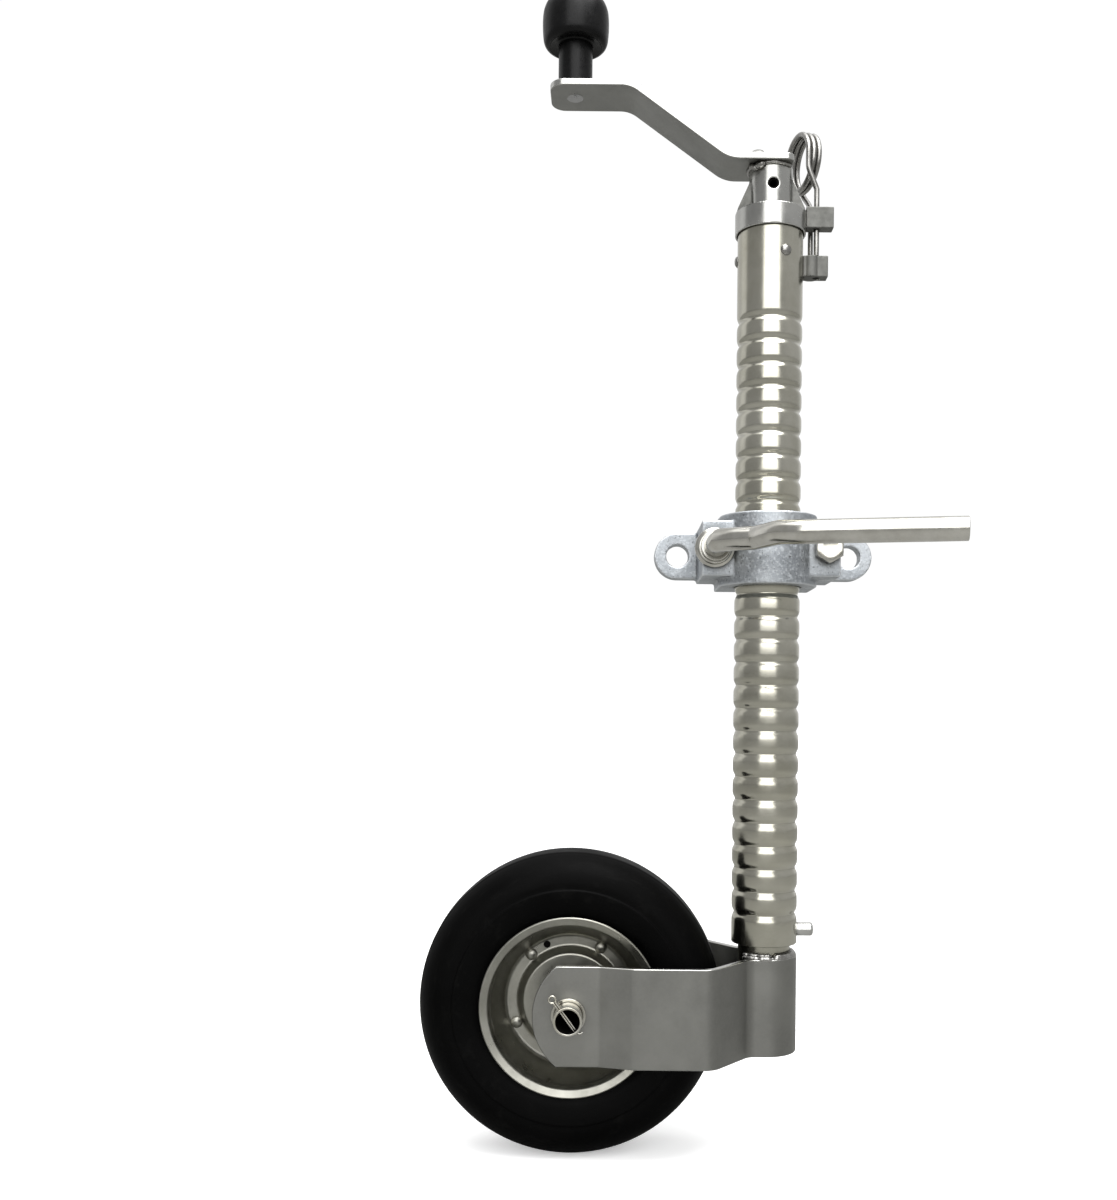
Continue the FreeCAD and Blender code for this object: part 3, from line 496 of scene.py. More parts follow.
# ---- materials ----------------------------------------------------------------------------
class Mixer:
    """Adds shader nodes to a tree and wires them up."""

    def __init__(self, tree):
        self.tree = tree

    def add(self, kind, inputs, **settings):
        """A node with its settings. An input is a number, a colour or another node's output."""
        node = self.tree.nodes.new(kind)
        for key, value in settings.items():
            setattr(node, key, value)
        for key, value in inputs.items():
            if isinstance(value, bpy.types.NodeSocket):
                self.tree.links.new(value, node.inputs[key])
            else:
                node.inputs[key].default_value = value
        return node

    def ramp(self, factor, *stops, curve="LINEAR"):
        """Colours or greys laid over a factor from 0 to 1. A stop is (position, grey or colour)."""
        node = self.add("ShaderNodeValToRGB", {"Fac": factor})
        node.color_ramp.interpolation = curve
        elements = node.color_ramp.elements
        while len(elements) < len(stops):
            elements.new(0.5)
        for element, (position, value) in zip(elements, stops):
            element.position = position
            grey = isinstance(value, (int, float))
            element.color = (value, value, value, 1) if grey else (*value, 1)
        return node.outputs["Color"]

    def spread(self, factor, low, high, to_low=0.0, to_high=1.0, curve="LINEAR"):
        """The factor's range from low to high, laid over another range."""
        inputs = {"Value": factor, "From Min": low, "From Max": high, "To Min": to_low, "To Max": to_high}
        return self.add("ShaderNodeMapRange", inputs, interpolation_type=curve).outputs["Result"]

    def mix(self, factor, first, second, blend="MIX"):
        node = self.add("ShaderNodeMix", {0: factor}, data_type="RGBA", blend_type=blend)
        for index, value in ((6, first), (7, second)):
            if isinstance(value, bpy.types.NodeSocket):
                self.tree.links.new(value, node.inputs[index])
            else:
                node.inputs[index].default_value = (*value, 1)
        return node.outputs[2]

    def maths(self, operation, first, second):
        return self.add("ShaderNodeMath", {0: first, 1: second}, operation=operation).outputs["Value"]


class Paint(Mixer):
    """A material being mixed."""

    def __init__(self, name, roughness, metallic=1.0):
        self.material = bpy.data.materials.new(name)
        self.material.use_nodes = True
        super().__init__(self.material.node_tree)
        self.surface = self.tree.nodes["Principled BSDF"]
        self.surface.inputs["Metallic"].default_value = metallic
        self.surface.inputs["Roughness"].default_value = roughness
        self.place = self.add("ShaderNodeTexCoord", {}).outputs["Object"]
        self.height = None

    def wire(self, output, name):
        self.tree.links.new(output, self.surface.inputs[name])

    def stretched(self, x, y, z):
        return self.add("ShaderNodeMapping", {"Vector": self.place, "Scale": (x, y, z)}).outputs["Vector"]

    def noise(self, scale, detail=4.0, roughness=0.5, place=None):
        """Noise with features about 1/scale metres across."""
        inputs = {"Vector": place or self.place, "Scale": scale, "Detail": detail, "Roughness": roughness}
        return self.add("ShaderNodeTexNoise", inputs).outputs["Fac"]

    def edges(self, low, high):
        """1 on the piece's outward edges and 0 elsewhere."""
        pointed = self.add("ShaderNodeNewGeometry", {}).outputs["Pointiness"]
        return self.spread(pointed, low, high)

    def hollows(self, reach, low, high):
        """1 in the piece's corners and hollows and 0 in the open. reach is in metres."""
        shade = self.add("ShaderNodeAmbientOcclusion", {"Distance": reach}, samples=6).outputs["AO"]
        return self.spread(shade, low, high, 1.0, 0.0)

    def bump(self, height, distance):
        """Raise the surface by the height. distance is the full height in metres. Bumps add up."""
        inputs = {"Height": height, "Distance": distance}
        if self.height is not None:
            inputs["Normal"] = self.height
        self.height = self.add("ShaderNodeBump", inputs).outputs["Normal"]
        self.wire(self.height, "Normal")


def plated_metal(name, dark, light, roughness, grain=(900, 0.00002), streak=None, blotch=28.0, wear=None,
                 hollow_shade=0.35, tint=None):
    """Zinc-plated steel: cloudy plating, fine grain, drawing streaks, rubbed edges and painted shade in its
    corners.
    """
    low_rough, high_rough = roughness
    paint = Paint(name, high_rough)
    cloud = paint.noise(blotch, 5, 0.6)
    fleck = paint.noise(grain[0] * 0.6, 2)
    colour = paint.ramp(cloud, (0.3, dark), (0.68, light))
    if tint:
        patch = paint.spread(paint.noise(blotch * 0.45, 3), 0.5, 0.7, 0.0, 0.55)
        colour = paint.mix(patch, colour, tint, "MULTIPLY")
    colour = paint.mix(paint.spread(fleck, 0.35, 0.65, 0.0, 0.22), colour, light)
    if wear:
        colour = paint.mix(paint.edges(*wear), colour, (0.78, 0.78, 0.76))
    # painted shade: hollows found by ambient occlusion are darkened towards near-black
    colour = paint.mix(paint.maths("MULTIPLY", paint.hollows(0.004, 0.35, 0.9), hollow_shade), colour,
                       (0.06, 0.055, 0.045))
    paint.wire(colour, "Base Color")
    rough = paint.spread(paint.noise(blotch * 3, 4, 0.65), 0.3, 0.7, low_rough, high_rough)
    paint.wire(rough, "Roughness")
    paint.bump(paint.noise(grain[0], 3), grain[1])
    if streak:
        lines = paint.noise(1.0, 2, 0.6, paint.stretched(*streak))
        paint.bump(lines, 0.000012)
    return paint.material


def cast_zinc():
    """Sand-cast clamp: pale zinc skin with a coarse grain, painted shade in its corners and bright on its
    edges.
    """
    paint = Paint("zinc_casting", 0.5)
    sand = paint.noise(420, 4, 0.6)
    cloud = paint.noise(40, 4)
    colour = paint.ramp(cloud, (0.3, (0.25, 0.27, 0.29)), (0.7, (0.42, 0.44, 0.46)))
    frost = paint.spread(sand, 0.5, 0.68, 0.0, 0.6)
    colour = paint.mix(frost, colour, (0.66, 0.69, 0.72))
    pits = paint.spread(paint.noise(650, 2), 0.62, 0.72, 0.0, 0.7)
    colour = paint.mix(pits, colour, (0.1, 0.1, 0.1))
    colour = paint.mix(paint.edges(0.51, 0.56), colour, (0.72, 0.74, 0.76))
    # painted shade: hollows found by ambient occlusion are darkened towards near-black
    colour = paint.mix(paint.hollows(0.006, 0.35, 0.85), colour, (0.09, 0.09, 0.085))
    paint.wire(colour, "Base Color")
    paint.wire(paint.spread(sand, 0.35, 0.65, 0.38, 0.62), "Roughness")
    paint.bump(sand, 0.00022)
    paint.bump(paint.noise(1500, 2), 0.00005)
    return paint.material


def rubber():
    """Smooth moulded rubber with a faint bloom and scuffs on the tread."""
    paint = Paint("tyre_rubber", 0.5, metallic=0.0)
    bloom = paint.noise(25, 5, 0.65)
    colour = paint.ramp(bloom, (0.35, (0.0003, 0.0003, 0.0003)), (0.7, (0.0009, 0.0009, 0.0009)))
    scuffs = paint.spread(paint.noise(1.0, 4, 0.7, paint.stretched(60, 420, 60)), 0.56, 0.74, 0.0, 0.35)
    colour = paint.mix(scuffs, colour, (0.007, 0.0068, 0.0064))
    paint.wire(colour, "Base Color")
    paint.wire(paint.spread(bloom, 0.3, 0.7, 0.42, 0.6), "Roughness")
    paint.surface.inputs["Specular IOR Level"].default_value = 0.045
    paint.bump(paint.noise(700, 3), 0.00003)
    paint.bump(paint.noise(110, 3), 0.00008)
    return paint.material


def plastic(name, dark, light, roughness, gloss):
    """Satin moulding with a fine spark-eroded texture."""
    paint = Paint(name, roughness, metallic=0.0)
    paint.surface.inputs["Specular IOR Level"].default_value = gloss
    cloud = paint.noise(60, 4)
    paint.wire(paint.ramp(cloud, (0.3, dark), (0.7, light)), "Base Color")
    paint.wire(paint.spread(paint.noise(300, 3), 0.3, 0.7, roughness - 0.06, roughness + 0.08), "Roughness")
    paint.bump(paint.noise(1800, 2), 0.00002)
    return paint.material


# plating's dark and light patches, least and greatest roughness, and grain as (scale, depth in metres)
# in each look, the strength that darkens the hollows is painted shade
PLATED = {
    "bright_zinc": dict(
        dark=(0.40, 0.39, 0.35), light=(0.60, 0.59, 0.55), roughness=(0.12, 0.24), grain=(700, 0.00001),
        blotch=45, tint=(0.92, 0.88, 0.74), hollow_shade=0.6),
    "plated_tube": dict(
        dark=(0.36, 0.35, 0.29), light=(0.50, 0.49, 0.43), roughness=(0.16, 0.26), grain=(1200, 0.000006),
        streak=(900, 900, 14), blotch=22, tint=(0.95, 0.92, 0.8), hollow_shade=0.55),
    "plated_forging": dict(
        dark=(0.33, 0.33, 0.315), light=(0.46, 0.46, 0.44), roughness=(0.18, 0.3), grain=(600, 0.00002),
        wear=(0.52, 0.6), hollow_shade=0.6),
    "dull_plate": dict(
        dark=(0.11, 0.11, 0.103), light=(0.165, 0.165, 0.155), roughness=(0.55, 0.7), grain=(500, 0.00004),
        blotch=60, wear=(0.53, 0.62), hollow_shade=0.6),
    "plated_flat_bar": dict(
        dark=(0.20, 0.20, 0.19), light=(0.27, 0.27, 0.255), roughness=(0.36, 0.5), grain=(800, 0.000025),
        blotch=18, wear=(0.53, 0.62)),
    "strap_plate": dict(
        dark=(0.165, 0.165, 0.155), light=(0.225, 0.225, 0.21), roughness=(0.36, 0.5),
        grain=(800, 0.000025), blotch=18),
    "weld_metal": dict(
        dark=(0.2, 0.195, 0.185), light=(0.36, 0.355, 0.34), roughness=(0.22, 0.38), grain=(900, 0.00003),
        blotch=140, hollow_shade=0.8),
    "bearing_steel": dict(
        dark=(0.5, 0.5, 0.5), light=(0.62, 0.62, 0.63), roughness=(0.08, 0.16)),
    "machined_steel": dict(
        dark=(0.3, 0.3, 0.3), light=(0.42, 0.42, 0.42), roughness=(0.25, 0.4), grain=(1000, 0.00002),
        streak=(40, 40, 1400)),
    "rim_zinc": dict(
        dark=(0.215, 0.213, 0.188), light=(0.32, 0.315, 0.282), roughness=(0.26, 0.4),
        grain=(700, 0.00002), blotch=32, tint=(0.95, 0.94, 0.86), hollow_shade=0.6),
}
materials = {name: plated_metal(name, **look) for name, look in PLATED.items()}
materials["zinc_casting"] = cast_zinc()
materials["tyre_rubber"] = rubber()
# the first of these is near-black paint that stands for the shade inside bores and holes
for name, *look in (("painted_shade_black", (0.003, 0.003, 0.003), (0.008, 0.0075, 0.007), 0.75, 0.0),
                    ("black_plastic", (0.0018, 0.0018, 0.002), (0.004, 0.004, 0.0042), 0.32, 0.15),
                    ("bush_nylon", (0.62, 0.61, 0.56), (0.74, 0.73, 0.68), 0.5, 0.5)):
    materials[name] = plastic(name, *look)


# ---- clamp --------------------------------------------------------------------------------
def clamp_pieces():
    softened("clamp_base", "clamp", "zinc_casting", 0.8, 5)
    softened("clamp_cap", "clamp", "zinc_casting", 0.8, 5)


def hex_bolt():
    """Plain shank and chamfered hex head, whose radius follows the hexagon up to a limit at each rise."""
    shank = 6.0
    head_height = 7.5
    to_flat = 9.53
    face = -EAR_TOP
    sides = 96
    sixth = math.pi / 3
    profile = [(0.0, 0.0), (0.0, 9.2), (0.35, 9.9), (0.8, 11.0), (6.0, 11.0), (6.9, 10.2), (head_height, 9.0),
               (head_height, 6.0), (head_height - 0.4, 5.2), (head_height - 0.4, 0.0)]
    rows = []
    for rise, limit in profile:
        row = []
        for angle in full_turn(sides):
            radius = min(limit, to_flat / math.cos(angle % sixth - sixth / 2))
            out = Vector((math.sin(angle), 0, math.cos(angle)))
            row.append(Vector((SCREW_X, face - rise, CLAMP_Z)) + out * radius)
        rows.append(row)
    end = box_mm("clamp_hex_bolt")[1].y
    body = turned(ring(0, shank, face - 1, end, 0.8), (SCREW_X, 0, CLAMP_Z), "Y", 48)
    piece("clamp_hex_bolt", "clamp", "bright_zinc", joined(skin(rows), body))


def dished_washer():
    low, high = box_mm("handle_washer")
    bore = HANDLE_RADIUS + 0.1
    outline = [(bore, high.y), (13.6, high.y), (14.4, high.y - 1.0), (14.2, high.y - 3.6),
               (12.4, high.y - 4.6), (12.0, low.y + 0.6), (11.4, low.y), (bore, low.y)]
    shape = turned(rounded(outline, 0.5), (-SCREW_X, 0, CLAMP_Z), "Y", 72)
    piece("handle_washer", "washer", "bright_zinc", shape)


def handle():
    """Bent round bar with its shoulder; the bar's end is sheared and slightly rounded."""
    screw_end = box_mm("clamp_handle")[1].y
    shoulder = -EAR_TOP - 7.0
    bend = Vector((-SCREW_X, shoulder - 68, CLAMP_Z))
    rise = math.radians(12)
    reach = 155
    tip = bend + Vector((math.cos(rise), -math.sin(rise), 0)) * reach
    line = arc_line(Vector((-SCREW_X, screw_end, CLAMP_Z)), bend, tip, 24.0)
    bar = round_bar(line, HANDLE_RADIUS, 40, 0.12)
    outline = ring(HANDLE_RADIUS - 1, 10.5, shoulder - 4, shoulder, 0.7)
    collar = turned(outline, (-SCREW_X, 0, CLAMP_Z), "Y", 64)
    piece("clamp_handle", "handle", "bright_zinc", joined(bar, collar))


# ---- tube ---------------------------------------------------------------------------------
def groove_drop(height):
    """How far the tube's face lies inside its full radius at a height."""
    last = GROOVE_FIRST + GROOVE_PITCH * (GROOVE_COUNT - 1)
    nearest = round((height - GROOVE_FIRST) / GROOVE_PITCH)
    centre = min(max(GROOVE_FIRST + GROOVE_PITCH * nearest, GROOVE_FIRST), last)
    off = abs(height - centre)
    crown = RIB_CROWN * max(0.0, 1 - off / (GROOVE_PITCH / 2)) ** 2
    return crown + (GROOVE_DEPTH - RIB_CROWN) * math.exp(-(off / GROOVE_SPREAD) ** 2)


def wall_line(radius, offsets):
    """One face of the tube's wall from its foot to its head."""
    edge = 0.5
    step = 4.0
    heights = [TUBE_BOTTOM + edge]
    for index in range(GROOVE_COUNT):
        heights.extend(GROOVE_FIRST + GROOVE_PITCH * index + off for off in offsets)
    plain = heights[-1] + step
    while plain < TUBE_TOP - edge:
        heights.append(plain)
        plain += step
    heights.append(TUBE_TOP - edge)
    return [(radius - groove_drop(height), height) for height in heights]


def jack_tube():
    half_groove = (0.8, 1.5, 2.2, 2.9, 3.7, 4.7, 6)
    groove = [-8] + [-off for off in reversed(half_groove)] + [0] + list(half_groove)
    outside = wall_line(TUBE_RADIUS, groove)
    inside = wall_line(TUBE_RADIUS - TUBE_WALL, (-5, -3, -1.5, 0, 1.5, 3, 5))
    foot = [(TUBE_RADIUS - TUBE_WALL + 0.4, TUBE_BOTTOM), (TUBE_RADIUS - 0.5, TUBE_BOTTOM)]
    head = [(TUBE_RADIUS - 0.4, TUBE_TOP), (TUBE_RADIUS - TUBE_WALL + 0.4, TUBE_TOP)]
    outline = foot + outside + head + list(reversed(inside))
    piece("outer_tube", "tube", "plated_tube", turned(outline, (0, 0, 0), "Z", 128))


def stud():
    low, high = box_mm("stop_stud")
    radius = (high.z - low.z) / 2
    outline = rounded([(0, 22.0), (radius, 22.0), (radius, high.x, 4.2), (0, high.x)], 0.0, 8)
    piece("stop_stud", "tube", "bright_zinc", turned(outline, (0, 0, (low.z + high.z) / 2), "X", 48),
          "plated_forging")


def rivets_in_tube():
    """Round-headed rivets with a bruised rim, let into the tube's head."""
    low, high = box_mm("bush_rivets")
    height = (low.z + high.z) / 2
    profile = [(0.0, 2.16), (1.2, 2.115), (2.3, 1.8), (3.2, 1.215), (4.1, 0.27), (4.4, -1.08), (0.0, -1.08)]
    shapes = []
    for angle in (-69, 51, 171):
        out = Vector((math.cos(math.radians(angle)), math.sin(math.radians(angle)), 0))
        centre = out * TUBE_RADIUS + Z_AXIS * height
        shapes.append(lump(profile, centre, (out, Z_AXIS.cross(out), Z_AXIS), 28, 0.13, 3, angle))
    piece("bush_rivets", "tube", "weld_metal", joined(*shapes))


# ---- crank --------------------------------------------------------------------------------
def arm():
    """Flat bar bent twice, with rounded corners at both ends and bright sheared edges."""
    under = ARM_LOW.z
    middle = under + ARM_THICKNESS / 2
    rise = ARM_HIGH.z - ARM_THICKNESS - under
    slope_start = -33.0
    slope_end = slope_start - rise / ARM_SLOPE
    shift = ARM_THICKNESS / 2 * math.tan(math.atan(ARM_SLOPE) / 2)
    knob_end = ARM_LOW.x
    hub_corner = 6.0
    knob_corner = 11.0
    line = rounded([(ARM_HIGH.x, middle), (slope_start + shift, middle), (slope_end + shift, middle + rise),
                    (knob_end, middle + rise)], 24.0, 10, closed=False)
    reached, at = along_line(line)
    whole = reached[-1]
    half = ARM_HALF_WIDTH
    steps = 12
    angles = [math.pi / 2 * step / steps for step in range(steps + 1)]
    outline = [(0, 0)]
    for angle in angles:
        along = hub_corner * (1 - math.cos(angle))
        outline.append((along, half - hub_corner * (1 - math.sin(angle))))
    outline.extend((distance, half) for distance in reached[1:-1])
    for angle in angles:
        along = whole - knob_corner * (1 - math.sin(angle))
        outline.append((along, half - knob_corner * (1 - math.cos(angle))))

    def place(along, aside, height):
        point, normal = at(along)
        return Vector((point.x - normal.x * height, aside, point.y - normal.y * height))

    obj = piece("crank_arm", "crank", "plated_flat_bar", bent_plate(outline, ARM_THICKNESS, 0.9, place))
    inked(obj, "plated_forging", lambda middle, normal: abs(normal.z) < 0.5)


def bead(line, size, seed, pitch=2.2, rough=1.0):
    """A weld bead with ripples along a line of points. rough is how uneven it is."""
    reached = distances(line)
    length = reached[-1]

    def radius_at(index):
        distance = reached[index]
        ripple = 1 - 0.1 * rough * (1 - abs(math.sin(math.pi * distance / pitch)))
        swell = 1 + 0.16 * rough * noise.noise(Vector((distance * 0.35, seed, 0)))
        taper = min(1.0, (distance + 0.4) / 3.0, (length - distance + 0.4) / 3.0) ** 0.5
        return size * ripple * swell * taper

    wandering = []
    for distance, point in zip(reached, line):
        drift = Vector([noise.noise(Vector((distance * 0.3, seed, row))) for row in (5, 9, 13)])
        wandering.append(point + drift * size * 0.22 * rough)
    return bar_along(wandering, radius_at, 14)


def round_line(radius, height, start, end, step=1.6):
    """Points on a level arc about the tube's axis, from one angle to another in degrees."""
    count = max(8, int(abs(end - start) / step))
    line = []
    for index in range(count + 1):
        angle = math.radians(start + (end - start) * index / count)
        line.append(Vector((radius * math.cos(angle), radius * math.sin(angle), height)))
    return line


def arm_welds():
    """Bead round the hub under the arm, and the dull pip on the arm's top."""
    under = ARM_LOW.z
    top = under + ARM_THICKNESS
    around = bead(round_line(16.4, under - 0.7, 32, 328), 1.5, 3, 3.1, 0.6)
    lumpy = bead(round_line(17.3, under - 2.0, 206, 250), 2.7, 11, 3.4, 2.0)
    profile = [(0.0, 5.3), (2.4, 5.0), (4.4, 4.0), (6.0, 2.5), (7.0, 0.9), (7.4, -1.0), (0.0, -1.0)]
    pip = lump(profile, Vector((-11, -10, top)), (Z_AXIS, X_AXIS, Y_AXIS), 30, 0.08, 2)
    welds = piece("crank_welds", "crank", "weld_metal", joined(around, lumpy, pip))
    inked(welds, "dull_plate", lambda middle, normal: middle.z > top)


def knob_rivet():
    low, high = box_mm("knob_pin")
    outline = [(0, low.z), (4.6, low.z + 0.1), (6.0, low.z + 0.9), (6.0, ARM_HIGH.z), (8.5, ARM_HIGH.z),
               (8.5, ARM_HIGH.z + 1.0), (6.0, ARM_HIGH.z + 1.0), (6.0, high.z - 4), (9.5, high.z - 4),
               (9.5, high.z - 1.4), (7.5, high.z - 0.3), (0, high.z)]
    piece("knob_pin", "crank", "machined_steel",
          turned(rounded(outline, 0.25), (-CRANK_RADIUS, 0, 0), "Z", 56))


def knob():
    """Plastic knob with its neck: a crowned barrel, hollow on top round the rivet's head."""
    foot, top = KNOB_LOW.z, KNOB_HIGH.z
    barrel = top - 37.5
    side = smooth_line([(19.6, barrel), (22.0, barrel + 1.0), (23.4, barrel + 3.4), (24.0, barrel + 7),
                        (24.4, barrel + 13), (24.3, barrel + 21), (23.4, barrel + 26.5),
                        (21.2, barrel + 31.2), (17.6, barrel + 34.6), (13.6, barrel + 36.6), (11.6, top)], 5)
    bore = rounded([(10.2, top - 0.2, 0.3), (10.2, top - 11.3), (6.1, top - 11.3), (6.1, foot),
                    (12.5, foot, 0.8), (12.5, barrel + 1.6, 1.5), (19.0, barrel + 0.1, 0.3)], 0.2)
    piece("knob", "knob", "black_plastic", turned(side + bore, (-CRANK_RADIUS, 0, 0), "Z", 112))


def clip_point(across, height, outward):
    """A point of the clip: across its ring, up, and square to its plane."""
    ring_way = Vector((math.cos(CLIP_ANGLE), math.sin(CLIP_ANGLE), 0))
    square = Vector((math.sin(CLIP_ANGLE), -math.cos(CLIP_ANGLE), 0))
    return Vector((CLIP_LEG_X, 0, height)) + ring_way * across + square * outward


def clip():
    """Spring cotter: a straight leg, a double coil and a wavy leg, in one wire."""
    bottom = box_mm("r_clip")[0].z
    leg = [clip_point(0, bottom + (CLIP_STRAIGHT_TOP - bottom) * step / 8, 0) for step in range(8)]
    neck = [(0, CLIP_STRAIGHT_TOP, 0), (0, 715.5, -3.2), (0, 723.5, -6.6), (0.1, 730.0, CLIP_RING_OUTWARD)]
    steps = 96
    coil = []
    for index in range(steps + 1):
        turned_by = CLIP_SWEEP * index / steps
        angle = math.pi - turned_by
        coil.append(clip_point(CLIP_RING_RADIUS * (1 + math.cos(angle)),
                               CLIP_RING_Z + CLIP_RING_RADIUS * math.sin(angle),
                               CLIP_RING_OUTWARD + CLIP_COIL_PITCH * turned_by / (2 * math.pi)))
    wave = [(29.0, 713.8, 4.5), (19.5, 705.0, 3.4), (12.8, 698.0, 1.4), (10.2, 690.0, 0.3), (9.6, 680.0, 0.0),
            (9.6, 670.0, 0.0), (10.2, 663.0, 0.3), (11.6, bottom + 1.2, 0.9)]
    bend = smooth_line([clip_point(*point) for point in neck], 5)
    tail = smooth_line([coil[-1]] + [clip_point(*point) for point in wave], 6)
    piece("r_clip", "clip", "bright_zinc",
          round_bar(leg + bend[:-1] + coil + tail[1:], CLIP_WIRE_RADIUS, 20, 0.6), "weld_metal")


def crank_pieces():
    collar = softened("crank_collar", "crank", "plated_forging", 0.5, 4)
    web_foot = box_mm("outer_tube")[1].z + WEB_FOOT_RISE
    inked(collar, "dull_plate", lambda middle, normal: (middle.z > web_foot
                                                        and math.hypot(middle.x, middle.y) > HUB_RADIUS))
    softened("collar_lug", "crank", "plated_forging", 0.35, 4, "dull_plate")
    softened("tube_lug", "tube", "plated_forging", 0.35, 4, "dull_plate")


# ---- leg ----------------------------------------------------------------------------------
def leg_tube():
    outline = ring(INNER_RADIUS - INNER_WALL, INNER_RADIUS, INNER_LOW.z, INNER_HIGH.z, 0.5)
    piece("inner_tube", "leg", "plated_tube", turned(outline, (0, 0, 0), "Z", 112))


def strap_line():
    """The strap's middle line seen from above, from the near end round the tube to the far end."""
    middle = STRAP_THICKNESS / 2
    wrap = INNER_RADIUS + middle
    at_tyre = STRAP_OUTER_MIDDLE - middle
    at_axle = STRAP_OUTER_AXLE - middle
    corners = [(STRAP_LOW.x, -at_axle), (-120.5, -at_axle), (-96.5, -at_tyre), (-42, -at_tyre), (-14, -wrap),
               (0, -wrap, 0)]
    near = rounded(corners, 13.0, 8, closed=False)
    steps = 32
    turn = []
    for step in range(1, steps):
        angle = -math.pi / 2 + math.pi * step / steps
        turn.append(Vector((wrap * math.cos(angle), wrap * math.sin(angle))))
    far = [Vector((p.x, -p.y)) for p in reversed(near)]
    return near + turn + far


def strap():
    """One flat strap wrapped round the inner tube and bent out past both sides of the wheel."""
    reached, at = along_line(strap_line())
    whole = reached[-1]
    half = (STRAP_HIGH.z - STRAP_LOW.z) / 2
    middle_z = (STRAP_HIGH.z + STRAP_LOW.z) / 2
    bow_depth = 17.0
    bow_radius = (half * half + bow_depth * bow_depth) / (2 * bow_depth)
    bow_angle = math.asin(half / bow_radius)
    steps = 14
    bow = []
    for step in range(steps + 1):
        angle = bow_angle * step / steps
        bow.append((bow_radius * (1 - math.cos(angle)), bow_radius * math.sin(angle)))
    # rows across the flat end, where the axle's hole is cut
    straight = [bow_depth + 8, bow_depth + 14, bow_depth + 20]
    bends = [distance for distance in reached if bow_depth + 1 < distance < whole - bow_depth - 1]
    outline = bow + [(distance, half) for distance in sorted(straight + bends)]
    outline = outline + [(whole - along, aside) for along, aside in reversed(bow)]

    def place(along, aside, height):
        point, normal = at(along)
        return Vector((point.x + normal.x * height, point.y + normal.y * height, middle_z + aside))

    shape = bent_plate(outline, STRAP_THICKNESS, 0.8, place)
    obj = piece("fork", "leg", "plated_flat_bar", shape, "strap_plate")
    reach = STRAP_OUTER_MIDDLE + 1
    drilled(obj, AXLE.x, AXLE.z, -reach, reach, AXLE_RADIUS - AXLE_WALL / 2)
    inked(obj, "plated_forging", lambda middle, normal: abs(normal.z) > 0.5)


def strap_welds():
    """Beads that cover the strap's top edge: lumpy where they start on the near side, smooth elsewhere."""
    top = STRAP_HIGH.z
    radius = INNER_RADIUS + 1.6
    shapes = [bead(round_line(radius - 0.2, top + 1.8, -142, -80), 2.1, 1, 5.5, 1.3),
              bead(round_line(radius + 1.6, top + 0.1, -140, -76), 2.2, 4, 4.6, 1.3),
              bead(round_line(radius, top + 0.9, -78, 140), 2.9, 2, 3.4, 0.35),
              bead(round_line(radius + 1.4, top + 0.2, -78, 140), 1.9, 5, 3.4, 0.35)]
    piece("fork_weld", "leg", "weld_metal", joined(*shapes))


def axle_pieces():
    low, high = box_mm("axle_tube")
    half = (high.y - low.y) / 2
    bore = AXLE_RADIUS - AXLE_WALL
    tube = turned(ring(bore, AXLE_RADIUS, -half, half, 0.4), WHEEL_CENTRE, "Y", 64)
    axle = piece("axle_tube", "leg", "bright_zinc", tube)

    def in_bore(middle, normal):
        return math.hypot(middle.x - AXLE.x, middle.z - AXLE.z) < bore + 0.02

    # painted shade: the bore's inside is painted near-black
    inked(axle, "painted_shade_black", in_bore)
    # the inner and the outer face's distance from the wheel's middle, and the radius
    washers = (("axle_spacers", "rim_zinc", 44.3, 47.0, 15.0),
               ("axle_washers", "bright_zinc", 52.0, 53.8, 12.2))
    for node, slot, inner, outer, radius in washers:
        outlines = [ring(AXLE_RADIUS, radius, side * inner, side * outer, 0.35) for side in (-1, 1)]
        piece(node, "leg", slot, joined(*[turned(outline, WHEEL_CENTRE, "Y", 64) for outline in outlines]))


def split_pin_line(side):
    """One folded wire: a leg, the eye, and a second leg bent aside at its foot."""
    way = Vector((-0.6, 0, 0.8))
    aside = Vector((0.8, 0, 0.6))
    centre = Vector((AXLE.x, side * SPLIT_PIN_OFFSET, AXLE.z))
    eye_centre = 17.9
    eye = 2.4
    opening = 0.4
    half = SPLIT_PIN_WIRE
    flat = [(-11.6, -half), (-6, -half), (0, -half), (7, -half), (14.6, -half)]
    steps = 14
    for step in range(steps + 1):
        angle = math.pi + opening + (2 * math.pi - 2 * opening) * step / steps
        flat.append((eye_centre + eye * math.cos(angle), eye * math.sin(angle)))
    flat += [(14.6, half), (7, half), (0, half), (-6, half), (-10.8, half), (-12.0, 1.6), (-12.4, 3.6)]
    return smooth_line([centre + way * along + aside * across for along, across in flat], 4)


def split_pins():
    piece("split_pins", "leg", "bright_zinc",
          joined(*[round_bar(split_pin_line(side), SPLIT_PIN_WIRE, 12, 0.5) for side in (-1, 1)]))


